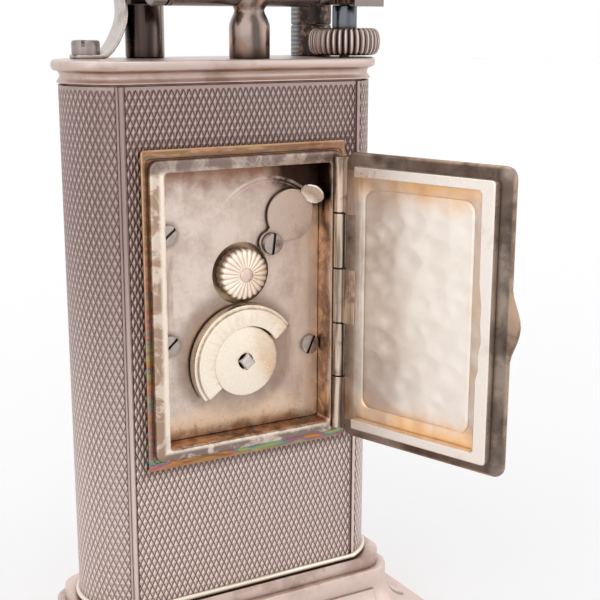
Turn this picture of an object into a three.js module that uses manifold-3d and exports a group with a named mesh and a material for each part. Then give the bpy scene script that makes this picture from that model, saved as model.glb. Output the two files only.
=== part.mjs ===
// Desk clock lighter: a flat silver petrol lighter on a stepped foot, with a small wound
// clock through its body. Millimetres, +Z up. The dial looks towards -Y and the winding
// door, which stands open, towards +Y. The origin is on the underside of the foot.
import * as THREE from "three";
import { mergeVertices } from "three/addons/utils/BufferGeometryUtils.js";
import Module from "manifold-3d";

const wasm = await Module();
wasm.setup();

// Clearances and counts that the whole object shares.
const gap = 0.3; // between still pieces that are set beside each other
const running = 0.1; // round a pin or an arbor that turns
const overrun = 1; // how far a cut runs past what it cuts
const sides = { pin: 10, post: 16, disc: 28, corner: 4, bow: 10, flare: 6, flute: 2, leaf: 12 };

// Body: a flat case with bowed ends, two ribs on each flat face.
const body = {
  depth: 13, flatHalf: 15, endHalf: 19.3, height: 60.4, wall: 0.6,
  ribWidth: 0.5, ribProud: 0.2, grooveWidth: 0.2, grooveDeep: 0.15,
};

// Foot: a flared casting with sunk panels, closed below by a plate.
const foot = {
  height: 11.2, ledgeOut: 1.6, ledgeOutDepth: 1.4, ledgeRadius: 3.4, neckHeight: 1.7, neckStep: 0.8,
  rimHeight: 1.9, rimRound: 0.25, spread: 6.1, plinthHeight: 2.2, cornerRadius: 5.6,
  wellWall: 2.3, panelEdge: 3, panelSideEdge: 3.3, panelSunk: 0.3, panelMargin: 0.35,
};
const footPlate = { thick: 0.9, edge: 2.6, radius: 3.2 };
const bead = { height: 0.8, proud: 0.45 };
const footScrew = { x: 15.6, headRadius: 1.6, headHeight: 0.8, radius: 0.8 };
const filler = {
  x: 8.5, neckRadius: 2.6, boreRadius: 1.8, neckLength: 3.4, headRadius: 3.2, headHeight: 1.4,
  shankLength: 3, slotWidth: 0.7, slotDeep: 0.6, washerThick: 0.5, accessRadius: 4,
};

// Top cap: a cove under a rounded rim, with a lip that enters the body.
const cap = {
  seam: 0.2, coveHeight: 1.4, coveDeep: 0.35, coveProud: 0.15, rimHeight: 1.1, rimProud: 0.75,
  lipHeight: 1.2, lipThick: 0.8,
};

// Fuel tank round the clock case, its packing and the wick.
const tank = { wall: 0.4, headroom: 2, packingRoom: 3.2, packingInset: 0.4, tunnelGap: 0.4 };
const wick = {
  inset: 4.45, wallGap: 2.4, guardOut: 0.3, guardRadius: 2.5, guardHeight: 3.75, stemRadius: 0.95,
  stemLength: 6, boreRadius: 0.6, cordRadius: 0.45, tip: 1.5,
};

// Clock case: a rectangular tube through the body, with a flange and a bezel at the back.
const clock = {
  belowTop: 6.8, tubeWall: 0.7, tubeFront: 0.3, flangeSide: 0.65, flangeEnd: 1.1, flangeThick: 0.3,
  bezelSide: 1.75, bezelEnd: 1.4, bezelProud: 1.2, bezelSoft: 0.35, bezelRadius: 1.1, openRadius: 0.4,
};

// Door at the back, hinged on its left edge as seen from the dial.
const door = {
  hingeIn: 0.8, hingeOver: 0.4, opening: 108.7, barrelRadius: 0.72, pinRadius: 0.3, knuckles: 5,
  knuckleEnd: 0.6, knuckleGap: 0.12, thick: 0.8, innerFace: 0.2, start: 1, edgeGap: 0.2,
  cornerRadius: 1.3, soft: 0.2, lugProud: 1.15, lugLength: 8.1, rimStart: 3.1, rimHeight: 1.2,
  rimThick: 1, rimEdgeThick: 1.5, rimRoot: 0.2, panelDeep: 0.15, panelInset: 1.3, panelHingeInset: 0.65,
};

// What the open door shows: the cover plate with the knob, the key and the regulator cover.
const cover = { recess: 3, thick: 0.5, edge: 0.2, knobRoom: 0.65, arborRoom: 0.25, regulatorLap: 0.8 };
const screws = {
  headRadius: 1.2, headHeight: 0.5, headSoft: 0.12, radius: 0.6, length: 1.6, slotWidth: 0.32, slotDeep: 0.25,
};
const screwPlaces = {
  right: { side: -1, room: 0.05, up: -6.6, turn: 65 },
  upper: { side: 1, room: 0.1, up: 8.6, turn: 39 },
  left: { side: 1, room: 0.1, up: -4.3, turn: 41 },
};
const knob = {
  radius: 3.05, height: 1.9, sunk: 0.3, flutes: 24, fluteDeep: 0.28, bossRadius: 0.65, bossHeight: 0.2,
  crown: 0.55, crownShares: [0.35, 0.7, 0.95],
};
const key = {
  knobGap: 0.55, discRadius: 4.25, discThick: 0.9, moonGap: 0.25, moonWide: 2.4, thick: 1.7, step: 0.5,
  stepDeep: 0.35, tilt: 35, past: 2, pinRadius: 0.35, pinLength: 1.7, square: 1.45, squareTop: 1.9,
  arborRadius: 1.1,
};
const regulator = {
  pivotOut: 3.8, pivotUp: 3.3, discOut: 2.7, discUp: 3.2, tabOut: 2.5, tabUp: 2.5, radius: 3.1, thick: 0.35,
  neck: 1.5, strapShare: 0.7, tabRadius: 1.45, tabThick: 1, tabSoft: 0.3, sideRoom: 0.2, topRoom: 2.25,
  headRadius: 1.35, headHeight: 0.6, screwRadius: 0.55, indexRadius: 1.5, indexLength: 3.4,
  indexThick: 0.3, indexWide: 0.7,
};

// Movement between two plates, read from the back plate towards the dial.
const works = {
  coverGap: 0.8, plateThick: 0.8, edge: 0.35, pillarInset: 1.5, pillarRadius: 0.85, arborRadius: 0.6,
};
const barrel = {
  teeth: 48, pinionTeeth: 12, edge: 0.155, drumStep: 0.2, toothThick: 0.5, wall: 0.5, springInner: 2.4,
  springGap: 0.4, arborHole: 1.2,
};
const train = {
  wheelTeeth: 40, pinionTeeth: 8, thirdX: 5, thirdUp: 7.48, wheelThick: 0.4, pinionThick: 0.8,
  thirdRadius: 3.3,
};
const balance = { radius: 3.3, rim: 0.45, thick: 0.4, spoke: 0.5, staffRadius: 0.3 };
const ratchet = { radius: 3.6, teeth: 20, deep: 0.5, thick: 0.45 };
const motion = {
  cannonTeeth: 8, minuteTeeth: 24, minutePinionTeeth: 8, hourTeeth: 32, edge: 0.46, dialGap: 0.8,
  thick: 0.4, pinionThick: 0.8, studRadius: 0.4, pipeWall: 0.4,
};
const tooth = { addendum: 0.7, dedendum: 1.05, rootShare: 0.52, tipShare: 0.2 };

// Dial side.
const dial = { behindFace: 1.7, thick: 0.4, edge: 0.2 };
const hands = {
  hourLength: 6.6, minuteLength: 9.2, wide: 1.1, tailWide: 0.55, shoulderShare: 0.6, thick: 0.2,
  hubRadius: 1.3, minuteHubRadius: 1, tail: 2, spread: 0.4,
};
const glass = { thick: 0.8, rebate: 0.5, depth: 0.3 };
const frontBezel = { proud: 1.6 };

// Lighter work on the top plate.
const lift = {
  x: 7.7, wallGap: 2.5, postRadius: 2.25, pivotUp: 9.6, eyeRadius: 2.2, eyeHalf: 0.95, webHalf: 2,
  earRadius: 3.1, earThick: 1.2, pinRadius: 0.8, pinHead: 0.3, bridgeHeight: 0.8, barHeight: 1.7,
  barHalf: 1.1, tenonRadius: 1.2,
};
const snuffer = { radius: 2.5, bore: 1.7, roof: 1.4, seam: 0.12 };
const leaf = {
  width: 3.2, thick: 0.45, lean: 0.15, foot: 3.2, reach: 7.2, screwRadius: 1.6, screwHeight: 1.6,
  shank: 0.8, rise: 6.7,
  routeShares: [[0, 0], [0.4, 0.12], [0.8, 0.42], [1, 0.7], [0.95, 1]],
};
const flintTube = {
  up: 7.9, radius: 2.1, bore: 1.3, left: 8, right: 12.7, screwHead: 1.7, screwHeadRadius: 2.15,
  screwPlug: 4.5, flintLength: 5, flintProud: 0.3, knurls: 20, knurlDeep: 0.15,
};
const tubePost = {
  x: 2.5, radius: 2.35, shoulder: 3.9, neckRadius: 1.7, neckUp: 5.3, ballRadius: 2.6, tenonRadius: 1.1,
};
const spark = {
  tubeGap: 0.7, guardGap: 0.2, wheelRadius: 4.3, wheelLow: 0.25, wheelHeight: 3.15, flutes: 36,
  fluteDeep: 0.3,
  barrelRound: 0.7, collarRadius: 1.48, steelRadius: 2, steelHeight: 3.7, steelTeeth: 24, steelDeep: 0.15,
  spindleRadius: 0.6, spindleDown: 1.2,
};
const bracket = {
  faceIn: 0.6, faceOut: 3.5, faceThick: 0.9, faceLow: 5.9, roofThick: 1, roofGap: 0.2, side: 0.25,
};

// Heights and depths that follow from the sizes above.
const bodyLow = foot.height + bead.height;
const bodyHigh = bodyLow + body.height;
const plateTop = bodyHigh + cap.seam + cap.coveHeight + cap.rimHeight;
const face = body.depth / 2;
const sagitta = body.endHalf - body.flatHalf;
const bowRadius = (face ** 2 + sagitta ** 2) / (2 * sagitta);
const bowCentre = body.endHalf - bowRadius;
const bezelFace = face + clock.bezelProud;
const coverFace = bezelFace - cover.recess;
const coverBack = coverFace - cover.thick;
const ledgeHalf = body.endHalf + foot.ledgeOut;
const ledgeHalfDepth = face + foot.ledgeOutDepth;
const ledgeTop = foot.height - foot.neckHeight;
const spreadHalf = ledgeHalf + foot.spread;
const wellTop = bodyLow + gap - filler.neckLength - filler.washerThick - 2 * running;

// The key stands below the knob, the regulator above it, and the opening clears them all.
const moonInner = key.discRadius + key.moonGap;
const moonOuter = moonInner + key.moonWide;
const arborSpan = knob.radius + moonOuter + key.knobGap;
const barrelPitch = (arborSpan * barrel.teeth) / (barrel.teeth + barrel.pinionTeeth);
const barrelTip = barrelPitch * (1 + (2 * tooth.addendum) / barrel.teeth);
const discOut = regulator.pivotOut + regulator.discOut;
const discUp = regulator.pivotUp + regulator.discUp;
const openWide = 2 * (discOut + regulator.tabOut + regulator.tabRadius + regulator.sideRoom);
const openHigh = barrel.edge + barrelTip + arborSpan + discUp + regulator.tabUp + regulator.tabRadius
  + regulator.topRoom;
const bezelWide = openWide + 2 * clock.bezelSide;
const bezelHigh = openHigh + 2 * clock.bezelEnd;
const flangeWide = bezelWide + 2 * clock.flangeSide;
const flangeHigh = bezelHigh + 2 * clock.flangeEnd;
const clockZ = bodyHigh - clock.belowTop - flangeHigh / 2;
const keyZ = clockZ - openHigh / 2 + barrel.edge + barrelTip;
const knobZ = keyZ + arborSpan;
const screwAt = Object.entries(screwPlaces).map(([name, { side, room, up, turn }]) => ({
  name, x: side * (openWide / 2 - screws.headRadius - room), z: clockZ + up,
  turn: THREE.MathUtils.degToRad(turn),
}));

// The tube through the body, the door's hinge, and the stack of the movement.
const tubeWide = openWide + 2 * clock.tubeWall;
const tubeHigh = openHigh + 2 * clock.tubeWall;
const hinge = { x: -(bezelWide / 2 - door.hingeIn), y: bezelFace + door.hingeOver };
const doorWidth = bezelWide / 2 - hinge.x - door.edgeGap;
const knuckleLength = (bezelHigh - 2 * door.knuckleEnd) / door.knuckles;
const dialFace = -face + dial.behindFace;
const backPlateTop = coverBack - works.coverGap;
const backPlateLow = backPlateTop - works.plateThick;
const frontPlateLow = dialFace + motion.dialGap + motion.thick + motion.pinionThick + 2 * running;
const frontPlateTop = frontPlateLow + works.plateThick;

// Places on the top plate: the striker stands before the flint, the guard beside the thumb wheel.
const sparkX = flintTube.right + spark.tubeGap + spark.steelRadius;
const collarHeight = flintTube.up - spark.steelHeight / 2 - spark.wheelLow - spark.wheelHeight;
const wickX = body.endHalf - wick.inset;
const wickTubeY = face - wick.wallGap;
const wickY = wickTubeY + wick.guardOut;
const tubeY = spark.wheelRadius + spark.guardGap + wick.guardRadius - wickY;
const liftY = face - lift.wallGap;
const leafX = lift.x + leaf.reach;

// The tank's tunnel round the clock, and the packing below it.
const tunnelLow = clockZ - tubeHigh / 2 - tank.tunnelGap;
const packingLow = bodyLow + 2 * gap + tank.wall;
const packingTop = tunnelLow - tank.wall - tank.packingRoom;

const object = new THREE.Group();

const finish = {
  silver: { color: 0x9c8f90, roughness: 0.45, metalness: 1 },
  palePlate: { color: 0xdccfc4, roughness: 0.4, metalness: 1 },
  nickel: { color: 0xe0d6c2, roughness: 0.3, metalness: 1 },
  dark: { color: 0x4a4244, roughness: 0.4, metalness: 1 },
  steel: { color: 0x6f7276, roughness: 0.35, metalness: 1 },
  brass: { color: 0xb9974f, roughness: 0.4, metalness: 1 },
  dial: { color: 0xe9e2d2, roughness: 0.6, metalness: 0 },
  glass: { color: 0xffffff, roughness: 0.05, metalness: 0 },
  felt: { color: 0xcfc8ba, roughness: 1, metalness: 0 },
  black: { color: 0x1c1b20, roughness: 0.4, metalness: 0 },
};

// A closed solid from a closed surface, with its faces turned outwards.
function solid(geometry) {
  const bare = geometry.clone();
  bare.deleteAttribute("normal");
  bare.deleteAttribute("uv");
  const merged = mergeVertices(bare);
  const places = merged.attributes.position.array;
  const corners = [];
  let volume = 0;
  for (let i = 0; i < merged.index.count; i += 3) {
    const [a, b, c] = [0, 1, 2].map((k) => merged.index.getX(i + k));
    if (a === b || b === c || a === c) continue;
    corners.push(a, b, c);
    const [p, q, r] = [a, b, c].map((k) => new THREE.Vector3().fromArray(places, 3 * k));
    volume += p.dot(q.cross(r));
  }
  if (volume < 0) corners.reverse();
  return new wasm.Manifold(new wasm.Mesh({
    numProp: 3, vertProperties: Float32Array.from(places), triVerts: Uint32Array.from(corners),
  }));
}

// Adds a solid to the object as a named piece, turned and placed if asked.
function piece(name, shape, look, place) {
  const result = shape.getMesh();
  const geometry = new THREE.BufferGeometry();
  geometry.setAttribute("position", new THREE.BufferAttribute(Float32Array.from(result.vertProperties), 3));
  geometry.setIndex(new THREE.BufferAttribute(Uint32Array.from(result.triVerts), 1));
  geometry.computeVertexNormals();
  const mesh = new THREE.Mesh(geometry, new THREE.MeshStandardMaterial(finish[look]));
  mesh.name = name;
  if (place) {
    mesh.position.set(...place.at);
    mesh.rotation.set(...place.turn);
  }
  object.add(mesh);
}

const union = (first, ...rest) => rest.reduce((sum, next) => sum.add(next), first);
const cutAll = (first, ...rest) => rest.reduce((left, next) => left.subtract(next), first);

// A box between two corners.
function block([x0, y0, z0], [x1, y1, z1]) {
  const geometry = new THREE.BoxGeometry(x1 - x0, y1 - y0, z1 - z0);
  return solid(geometry.translate((x0 + x1) / 2, (y0 + y1) / 2, (z0 + z1) / 2));
}

// An outline in X and Y, raised from one height to another.
function upright(points, low, high) {
  const shape = new THREE.Shape(points);
  return solid(
    new THREE.ExtrudeGeometry(shape, { depth: high - low, bevelEnabled: false }).translate(0, 0, low),
  );
}

// An outline in X and Z, reaching along Y, with its edges softened by the given amount.
function facing(points, near, far, soft = 0) {
  const settings = soft
    ? {
      depth: far - near - 2 * soft, bevelThickness: soft, bevelSize: soft, bevelOffset: -soft,
      bevelSegments: 2,
    }
    : { depth: far - near, bevelEnabled: false };
  const geometry = new THREE.ExtrudeGeometry(new THREE.Shape(points), settings).rotateX(Math.PI / 2);
  return solid(geometry.translate(0, far - soft, 0));
}

// A turned solid from steps of [radius, place along the axis]; axis is "x", "y" or "z".
function turned(axis, steps, centre, count = sides.post) {
  const closed = [[0, steps[0][1]], ...steps, [0, steps[steps.length - 1][1]]];
  const profile = closed.map(([r, h]) => new THREE.Vector2(r, h));
  const geometry = new THREE.LatheGeometry(profile, count);
  if (axis === "z") geometry.rotateX(Math.PI / 2);
  if (axis === "x") geometry.rotateZ(-Math.PI / 2);
  return solid(geometry.translate(...centre));
}

// A plain round bar along an axis, between two places on it.
const rod = (axis, radius, from, to, centre, count) => turned(
  axis, [[radius, from], [radius, to]], centre, count,
);

// Points of a rectangle with round corners, about a centre.
function rectangle(halfWide, halfHigh, radius, [cx, cy] = [0, 0]) {
  const points = [];
  for (let corner = 0; corner < 4; corner++) {
    const sx = corner === 0 || corner === 3 ? 1 : -1;
    const sy = corner < 2 ? 1 : -1;
    for (let i = 0; i <= sides.corner; i++) {
      const angle = (corner + i / sides.corner) * (Math.PI / 2);
      points.push(new THREE.Vector2(
        cx + sx * (halfWide - radius) + radius * Math.cos(angle),
        cy + sy * (halfHigh - radius) + radius * Math.sin(angle),
      ));
    }
  }
  return points;
}

// Points of the body's plan, moved outwards by the given amount.
function plan(offset) {
  const radius = bowRadius + offset;
  const half = Math.asin((face + offset) / radius);
  const points = [];
  for (const end of [1, -1]) {
    for (let i = 0; i <= sides.bow; i++) {
      const angle = half * ((2 * i) / sides.bow - 1);
      points.push(
        new THREE.Vector2(end * (bowCentre + radius * Math.cos(angle)), end * radius * Math.sin(angle)),
      );
    }
  }
  return points;
}

// Points of a round outline about a centre.
function ring(radius, [cx, cy], count = sides.disc) {
  return Array.from({ length: count }, (_, i) => {
    const angle = (i / count) * 2 * Math.PI;
    return new THREE.Vector2(cx + radius * Math.cos(angle), cy + radius * Math.sin(angle));
  });
}

// A closed skin over level outlines of equal count, given as [outline, height] from low to high.
function loft(levels) {
  const count = levels[0][0].length;
  const places = levels.flatMap(([points, z]) => points.flatMap((p) => [p.x, p.y, z]));
  const corners = [];
  for (let level = 0; level < levels.length - 1; level++) {
    for (let i = 0; i < count; i++) {
      const [a, b] = [level * count + i, level * count + ((i + 1) % count)];
      corners.push(a, b, b + count, a, b + count, a + count);
    }
  }
  const top = (levels.length - 1) * count;
  THREE.ShapeUtils.triangulateShape(levels[0][0], []).forEach(([a, b, c]) => corners.push(a, c, b));
  THREE.ShapeUtils.triangulateShape(levels[levels.length - 1][0], []).forEach(
    ([a, b, c]) => corners.push(top + a, top + b, top + c),
  );
  const geometry = new THREE.BufferGeometry();
  geometry.setAttribute("position", new THREE.Float32BufferAttribute(places, 3));
  geometry.setIndex(corners);
  return geometry;
}

// A fluted round outline: each flute is a ridge and a groove.
function fluted(radius, deep, flutes, steps = sides.flute) {
  return Array.from({ length: flutes * steps }, (_, i) => {
    const angle = (i / (flutes * steps)) * 2 * Math.PI;
    const r = radius - deep * (i % steps === 0 ? 0 : 1);
    return new THREE.Vector2(r * Math.cos(angle), r * Math.sin(angle));
  });
}

// A gear outline: straight-sided teeth, the first gap or tooth centred on the given angle.
function gear(teeth, pitch, centre, phase) {
  const size = (2 * pitch) / teeth;
  const [tip, root] = [pitch + tooth.addendum * size, pitch - tooth.dedendum * size];
  const points = [];
  for (let i = 0; i < teeth; i++) {
    const flank = [[tooth.tipShare, tip], [tooth.rootShare, root]];
    for (const [share, radius] of [...flank.map(([s, r]) => [-s, r]).reverse(), ...flank]) {
      const angle = phase + ((i + share / 2) / teeth) * 2 * Math.PI;
      points.push(
        new THREE.Vector2(centre[0] + radius * Math.cos(angle), centre[1] + radius * Math.sin(angle)),
      );
    }
  }
  return points;
}

// The screwdriver slot of a screw whose axis is Y, turned by an angle.
function slotY(x, z, top, sizes, angle) {
  const half = sizes.headRadius + overrun;
  const cut = new THREE.BoxGeometry(2 * half, 2 * sizes.slotDeep, sizes.slotWidth).rotateY(angle);
  return solid(cut.translate(x, top, z));
}

// Foot casting with its sunk panels, the plate under it and the plate that carries the body.
function makeFoot() {
  const flareTop = ledgeTop - foot.rimHeight;
  const flare = (sunk) => {
    const levels = [[spreadHalf, 0], [spreadHalf, foot.plinthHeight]];
    for (let i = 1; i <= sides.flare; i++) {
      const angle = (1 - i / sides.flare) * (Math.PI / 2);
      const drop = (flareTop - foot.plinthHeight) * Math.sin(angle);
      levels.push([ledgeHalf + foot.spread * (1 - Math.cos(angle)), flareTop - drop]);
    }
    levels.push([ledgeHalf, ledgeTop - foot.rimRound], [ledgeHalf - foot.rimRound, ledgeTop]);
    levels.push([ledgeHalf - foot.neckStep, ledgeTop], [ledgeHalf - foot.neckStep, foot.height]);
    return levels.map(([half, z]) => {
      const grown = (half - ledgeHalf) / foot.spread;
      const radius = foot.ledgeRadius + (foot.cornerRadius - foot.ledgeRadius) * grown;
      const halfDepth = half - ledgeHalf + ledgeHalfDepth;
      return [rectangle(half - sunk, halfDepth - sunk, radius), z];
    });
  };
  const low = foot.plinthHeight + foot.panelMargin;
  const high = flareTop - foot.panelMargin;
  const reach = spreadHalf + overrun;
  const [panelHalf, panelHalfDepth] = [ledgeHalf - foot.panelEdge, ledgeHalfDepth - foot.panelSideEdge];
  const windows = union(
    block([-panelHalf, -reach, low], [panelHalf, reach, high]),
    block([-reach, -panelHalfDepth, low], [reach, panelHalfDepth, high]),
  );
  const panels = windows.subtract(solid(loft(flare(foot.panelSunk))));
  const wellSize = [ledgeHalf - foot.wellWall, ledgeHalfDepth - foot.wellWall];
  const well = upright(rectangle(...wellSize, foot.ledgeRadius), -overrun, wellTop);
  const [plateHalf, plateHalfDepth] = [spreadHalf, ledgeHalfDepth + foot.spread]
    .map((half) => half - footPlate.edge);
  const recess = upright(
    rectangle(plateHalf + gap, plateHalfDepth + gap, footPlate.radius + gap), -overrun, footPlate.thick + gap,
  );
  const neckHole = rod("z", filler.neckRadius + gap, 0, foot.height + overrun, [filler.x, 0, 0]);
  const screwHole = (side, top) => rod(
    "z", footScrew.radius + running, 0, top, [side * footScrew.x, 0, 0], sides.pin,
  );
  const screwHoles = [-1, 1].map((side) => screwHole(side, foot.height + overrun));
  piece("base", cutAll(solid(loft(flare(0))), panels, well, recess, neckHole, ...screwHoles), "silver");

  const plate = upright(rectangle(plateHalf, plateHalfDepth, footPlate.radius), 0, footPlate.thick);
  const access = rod("z", filler.accessRadius, -overrun, footPlate.thick + overrun, [filler.x, 0, 0]);
  piece("base_plate", plate.subtract(access), "silver");

  const beadLevels = Array.from({ length: sides.corner + 1 }, (_, i) => {
    const angle = (i / sides.corner - 0.5) * Math.PI;
    return [plan(bead.proud * Math.cos(angle)), foot.height + (bead.height * i) / sides.corner];
  });
  const carrier = cutAll(
    solid(loft(beadLevels)),
    rod("z", filler.neckRadius + gap, 0, bodyLow + overrun, [filler.x, 0, 0]),
    ...[-1, 1].map((side) => screwHole(side, foot.height + bead.height / 2)),
  );
  piece("body_bottom", carrier, "silver");

  for (const [name, side] of [["base_screw_left", 1], ["base_screw_right", -1]]) {
    const steps = [
      [footScrew.headRadius, wellTop - footScrew.headHeight], [footScrew.headRadius, wellTop],
      [footScrew.radius, wellTop], [footScrew.radius, foot.height + bead.height / 2 - running],
    ];
    piece(name, turned("z", steps, [side * footScrew.x, 0, 0], sides.pin), "steel");
  }
}

// Body shell with its ribs, and windows for the clock case.
function makeBody() {
  const shell = upright(plan(0), bodyLow, bodyHigh).subtract(
    upright(plan(-body.wall), bodyLow - overrun, bodyHigh + overrun),
  );
  const windowHalf = tubeWide / 2 + gap / 2;
  const windowHalfHigh = tubeHigh / 2 + gap / 2;
  const window = block(
    [-windowHalf, -face - overrun, clockZ - windowHalfHigh], [
      windowHalf, face + overrun, clockZ + windowHalfHigh,
    ],
  );
  const ribs = [];
  const grooves = [];
  for (const sx of [-1, 1]) {
    for (const sy of [-1, 1]) {
      const strip = (from, to, deep, proud, past) => {
        const [x0, x1] = [sx * from, sx * to].sort((a, b) => a - b);
        const [y0, y1] = [sy * (face - deep), sy * (face + proud)].sort((a, b) => a - b);
        return block([x0, y0, bodyLow - past], [x1, y1, bodyHigh + past]);
      };
      const [inner, outer] = [body.flatHalf - body.ribWidth / 2, body.flatHalf + body.ribWidth / 2];
      ribs.push(strip(inner, outer, body.wall / 2, body.ribProud, 0));
      grooves.push(strip(inner - body.grooveWidth, inner, body.grooveDeep, overrun, overrun));
      grooves.push(strip(outer, outer + body.grooveWidth, 2 * body.grooveDeep, overrun, overrun));
    }
  }
  piece("body_shell", union(cutAll(shell, window, ...grooves), ...ribs), "silver");
}

// Top cap: cove, rounded rim and inner lip, with holes for what stands on it.
function makeCap() {
  const low = bodyHigh + cap.seam;
  const levels = [[cap.coveProud, low]];
  for (let i = 1; i < sides.corner; i++) {
    const share = i / sides.corner;
    levels.push([cap.coveProud - cap.coveDeep * Math.sin(share * Math.PI), low + cap.coveHeight * share]);
  }
  for (let i = 0; i <= sides.corner; i++) {
    const angle = (i / sides.corner - 0.5) * Math.PI;
    const flat = cap.rimProud / 2;
    const up = cap.coveHeight + (cap.rimHeight * (1 + Math.sin(angle))) / 2;
    levels.push([flat + (cap.rimProud - flat) * Math.cos(angle), low + up]);
  }
  const plate = solid(loft(levels.map(([offset, z]) => [plan(offset), z])));
  const lipOut = -body.wall - gap;
  const lip = upright(plan(lipOut), low - cap.lipHeight - cap.seam, low + cap.coveHeight / 2)
    .subtract(upright(plan(lipOut - cap.lipThick), low - cap.lipHeight - overrun, low + cap.coveHeight / 4));
  const under = low - cap.lipHeight - overrun;
  const through = (radius, x, y) => rod("z", radius, under, plateTop + overrun, [x, y, 0], sides.pin);
  const spindleLow = plateTop - spark.spindleDown - gap;
  piece("top_cap", cutAll(
    plate.add(lip),
    through(wick.stemRadius + running, -wickX, -wickTubeY),
    through(lift.tenonRadius + running, lift.x, -liftY),
    through(tubePost.tenonRadius + running, -tubePost.x, tubeY),
    through(leaf.shank + running, leafX, -liftY),
    rod("z", spark.spindleRadius + running, spindleLow, plateTop + overrun, [-sparkX, tubeY, 0], sides.pin),
  ), "silver");
}

// Fuel tank with a tunnel for the clock, its packing, the filler screw and washer.
function makeTank() {
  const outer = -body.wall - gap;
  const low = bodyLow + gap;
  const high = bodyHigh - tank.headroom;
  const tunnel = (wall) => {
    const [halfX, halfZ] = [tubeWide / 2 + tank.tunnelGap + wall, clockZ - tunnelLow + wall];
    return block([-halfX, -face, clockZ - halfZ], [halfX, face, clockZ + halfZ]);
  };
  const room = upright(plan(outer - tank.wall), low + tank.wall, high - tank.wall)
    .subtract(tunnel(tank.wall));
  const neckLow = low - filler.neckLength;
  const neck = rod("z", filler.neckRadius, neckLow, low + tank.wall, [filler.x, 0, 0]);
  const stemLow = plateTop - wick.stemLength;
  piece("fuel_tank", cutAll(
    union(upright(plan(outer), low, high), neck),
    room, tunnel(0),
    rod("z", filler.boreRadius, neckLow - overrun, low + overrun, [filler.x, 0, 0]),
    rod("z", wick.stemRadius + running, stemLow - gap, high + overrun, [-wickX, -wickTubeY, 0], sides.pin),
  ), "steel");

  const packingFace = face + outer - tank.wall - gap;
  const packingHalf = body.flatHalf - tank.packingInset;
  const packing = block([-packingHalf, -packingFace, packingLow], [packingHalf, packingFace, packingTop]);
  const wickPath = rod(
    "z", wick.cordRadius + gap, packingLow - overrun, packingTop + overrun, [-wickX, -wickTubeY, 0],
  );
  piece("tank_packing", packing.subtract(wickPath), "felt");

  const seat = neckLow - running;
  const washerLow = seat - filler.washerThick;
  const washer = rod("z", filler.neckRadius, washerLow, seat, [filler.x, 0, 0])
    .subtract(rod("z", filler.boreRadius, washerLow - overrun, seat + overrun, [filler.x, 0, 0]));
  piece("filler_washer", washer, "felt");

  const headTop = washerLow - running;
  const headLow = headTop - filler.headHeight;
  const shank = filler.boreRadius - running;
  const steps = [
    [filler.headRadius, headLow], [filler.headRadius, headTop], [shank, headTop],
    [shank, headTop + filler.shankLength],
  ];
  const slot = block(
    [filler.x - filler.headRadius - overrun, -filler.slotWidth / 2, headLow - overrun],
    [filler.x + filler.headRadius + overrun, filler.slotWidth / 2, headLow + filler.slotDeep],
  );
  piece("filler_screw", turned("z", steps, [filler.x, 0, 0]).subtract(slot), "silver");
}

// Wick, and the round guard that it stands in.
function makeWick() {
  const guardTop = plateTop + wick.guardHeight;
  const guard = rod("z", wick.guardRadius, plateTop, guardTop, [-wickX, -wickY, 0]);
  const along = (radius, low, high) => rod("z", radius, low, high, [-wickX, -wickTubeY, 0], sides.pin);
  const stemLow = plateTop - wick.stemLength;
  const stem = along(wick.stemRadius, stemLow, plateTop + wick.guardHeight / 2);
  piece(
    "wick_guard", guard.add(stem).subtract(along(wick.boreRadius, stemLow - overrun, guardTop + overrun)),
    "dark",
  );
  piece("wick", along(wick.cordRadius, (packingLow + packingTop) / 2, guardTop + wick.tip), "felt");
}

// Height of a hinge knuckle, counted from the top, as [low, high].
function knuckle(index) {
  const top = clockZ + (door.knuckles * knuckleLength) / 2 - index * knuckleLength;
  return [top - knuckleLength + door.knuckleGap / 2, top - door.knuckleGap / 2];
}

// Clock case with its back bezel and the two middle knuckles of the hinge.
function makeCase() {
  const frame = (wide, high, radius, ...depths) => facing(
    rectangle(wide / 2, high / 2, radius, [0, clockZ]), ...depths,
  );
  const flangeFace = face + clock.flangeThick;
  const tube = frame(
    tubeWide, tubeHigh, clock.openRadius + clock.tubeWall, -face + clock.tubeFront, flangeFace,
  );
  const flange = frame(flangeWide, flangeHigh, clock.openRadius, face, flangeFace);
  const bezel = frame(bezelWide, bezelHigh, clock.bezelRadius, face, bezelFace, clock.bezelSoft);
  const opening = frame(openWide, openHigh, clock.openRadius, -face - overrun, bezelFace + overrun);
  const half = bezelHigh / 2 + overrun;
  const channel = rod(
    "z", door.barrelRadius + gap, clockZ - half, clockZ + half, [hinge.x, hinge.y, 0], sides.pin,
  );
  let shape = cutAll(union(tube, flange, bezel), opening, channel);
  for (const index of [1, 3]) {
    const [low, high] = knuckle(index);
    const web = block(
      [hinge.x - door.barrelRadius / 2, face, low], [hinge.x + door.barrelRadius / 2, hinge.y, high],
    );
    shape = union(shape, web, rod("z", door.barrelRadius, low, high, [hinge.x, hinge.y, 0], sides.pin));
  }
  const pinHalf = (door.knuckles * knuckleLength) / 2;
  const pin = (radius, reach) => rod(
    "z", radius, clockZ - reach, clockZ + reach, [hinge.x, hinge.y, 0], sides.pin,
  );
  piece("clock_case", shape.subtract(pin(door.pinRadius + running, pinHalf + overrun)), "palePlate");
  piece("hinge_pin", pin(door.pinRadius, pinHalf), "steel");
}

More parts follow.
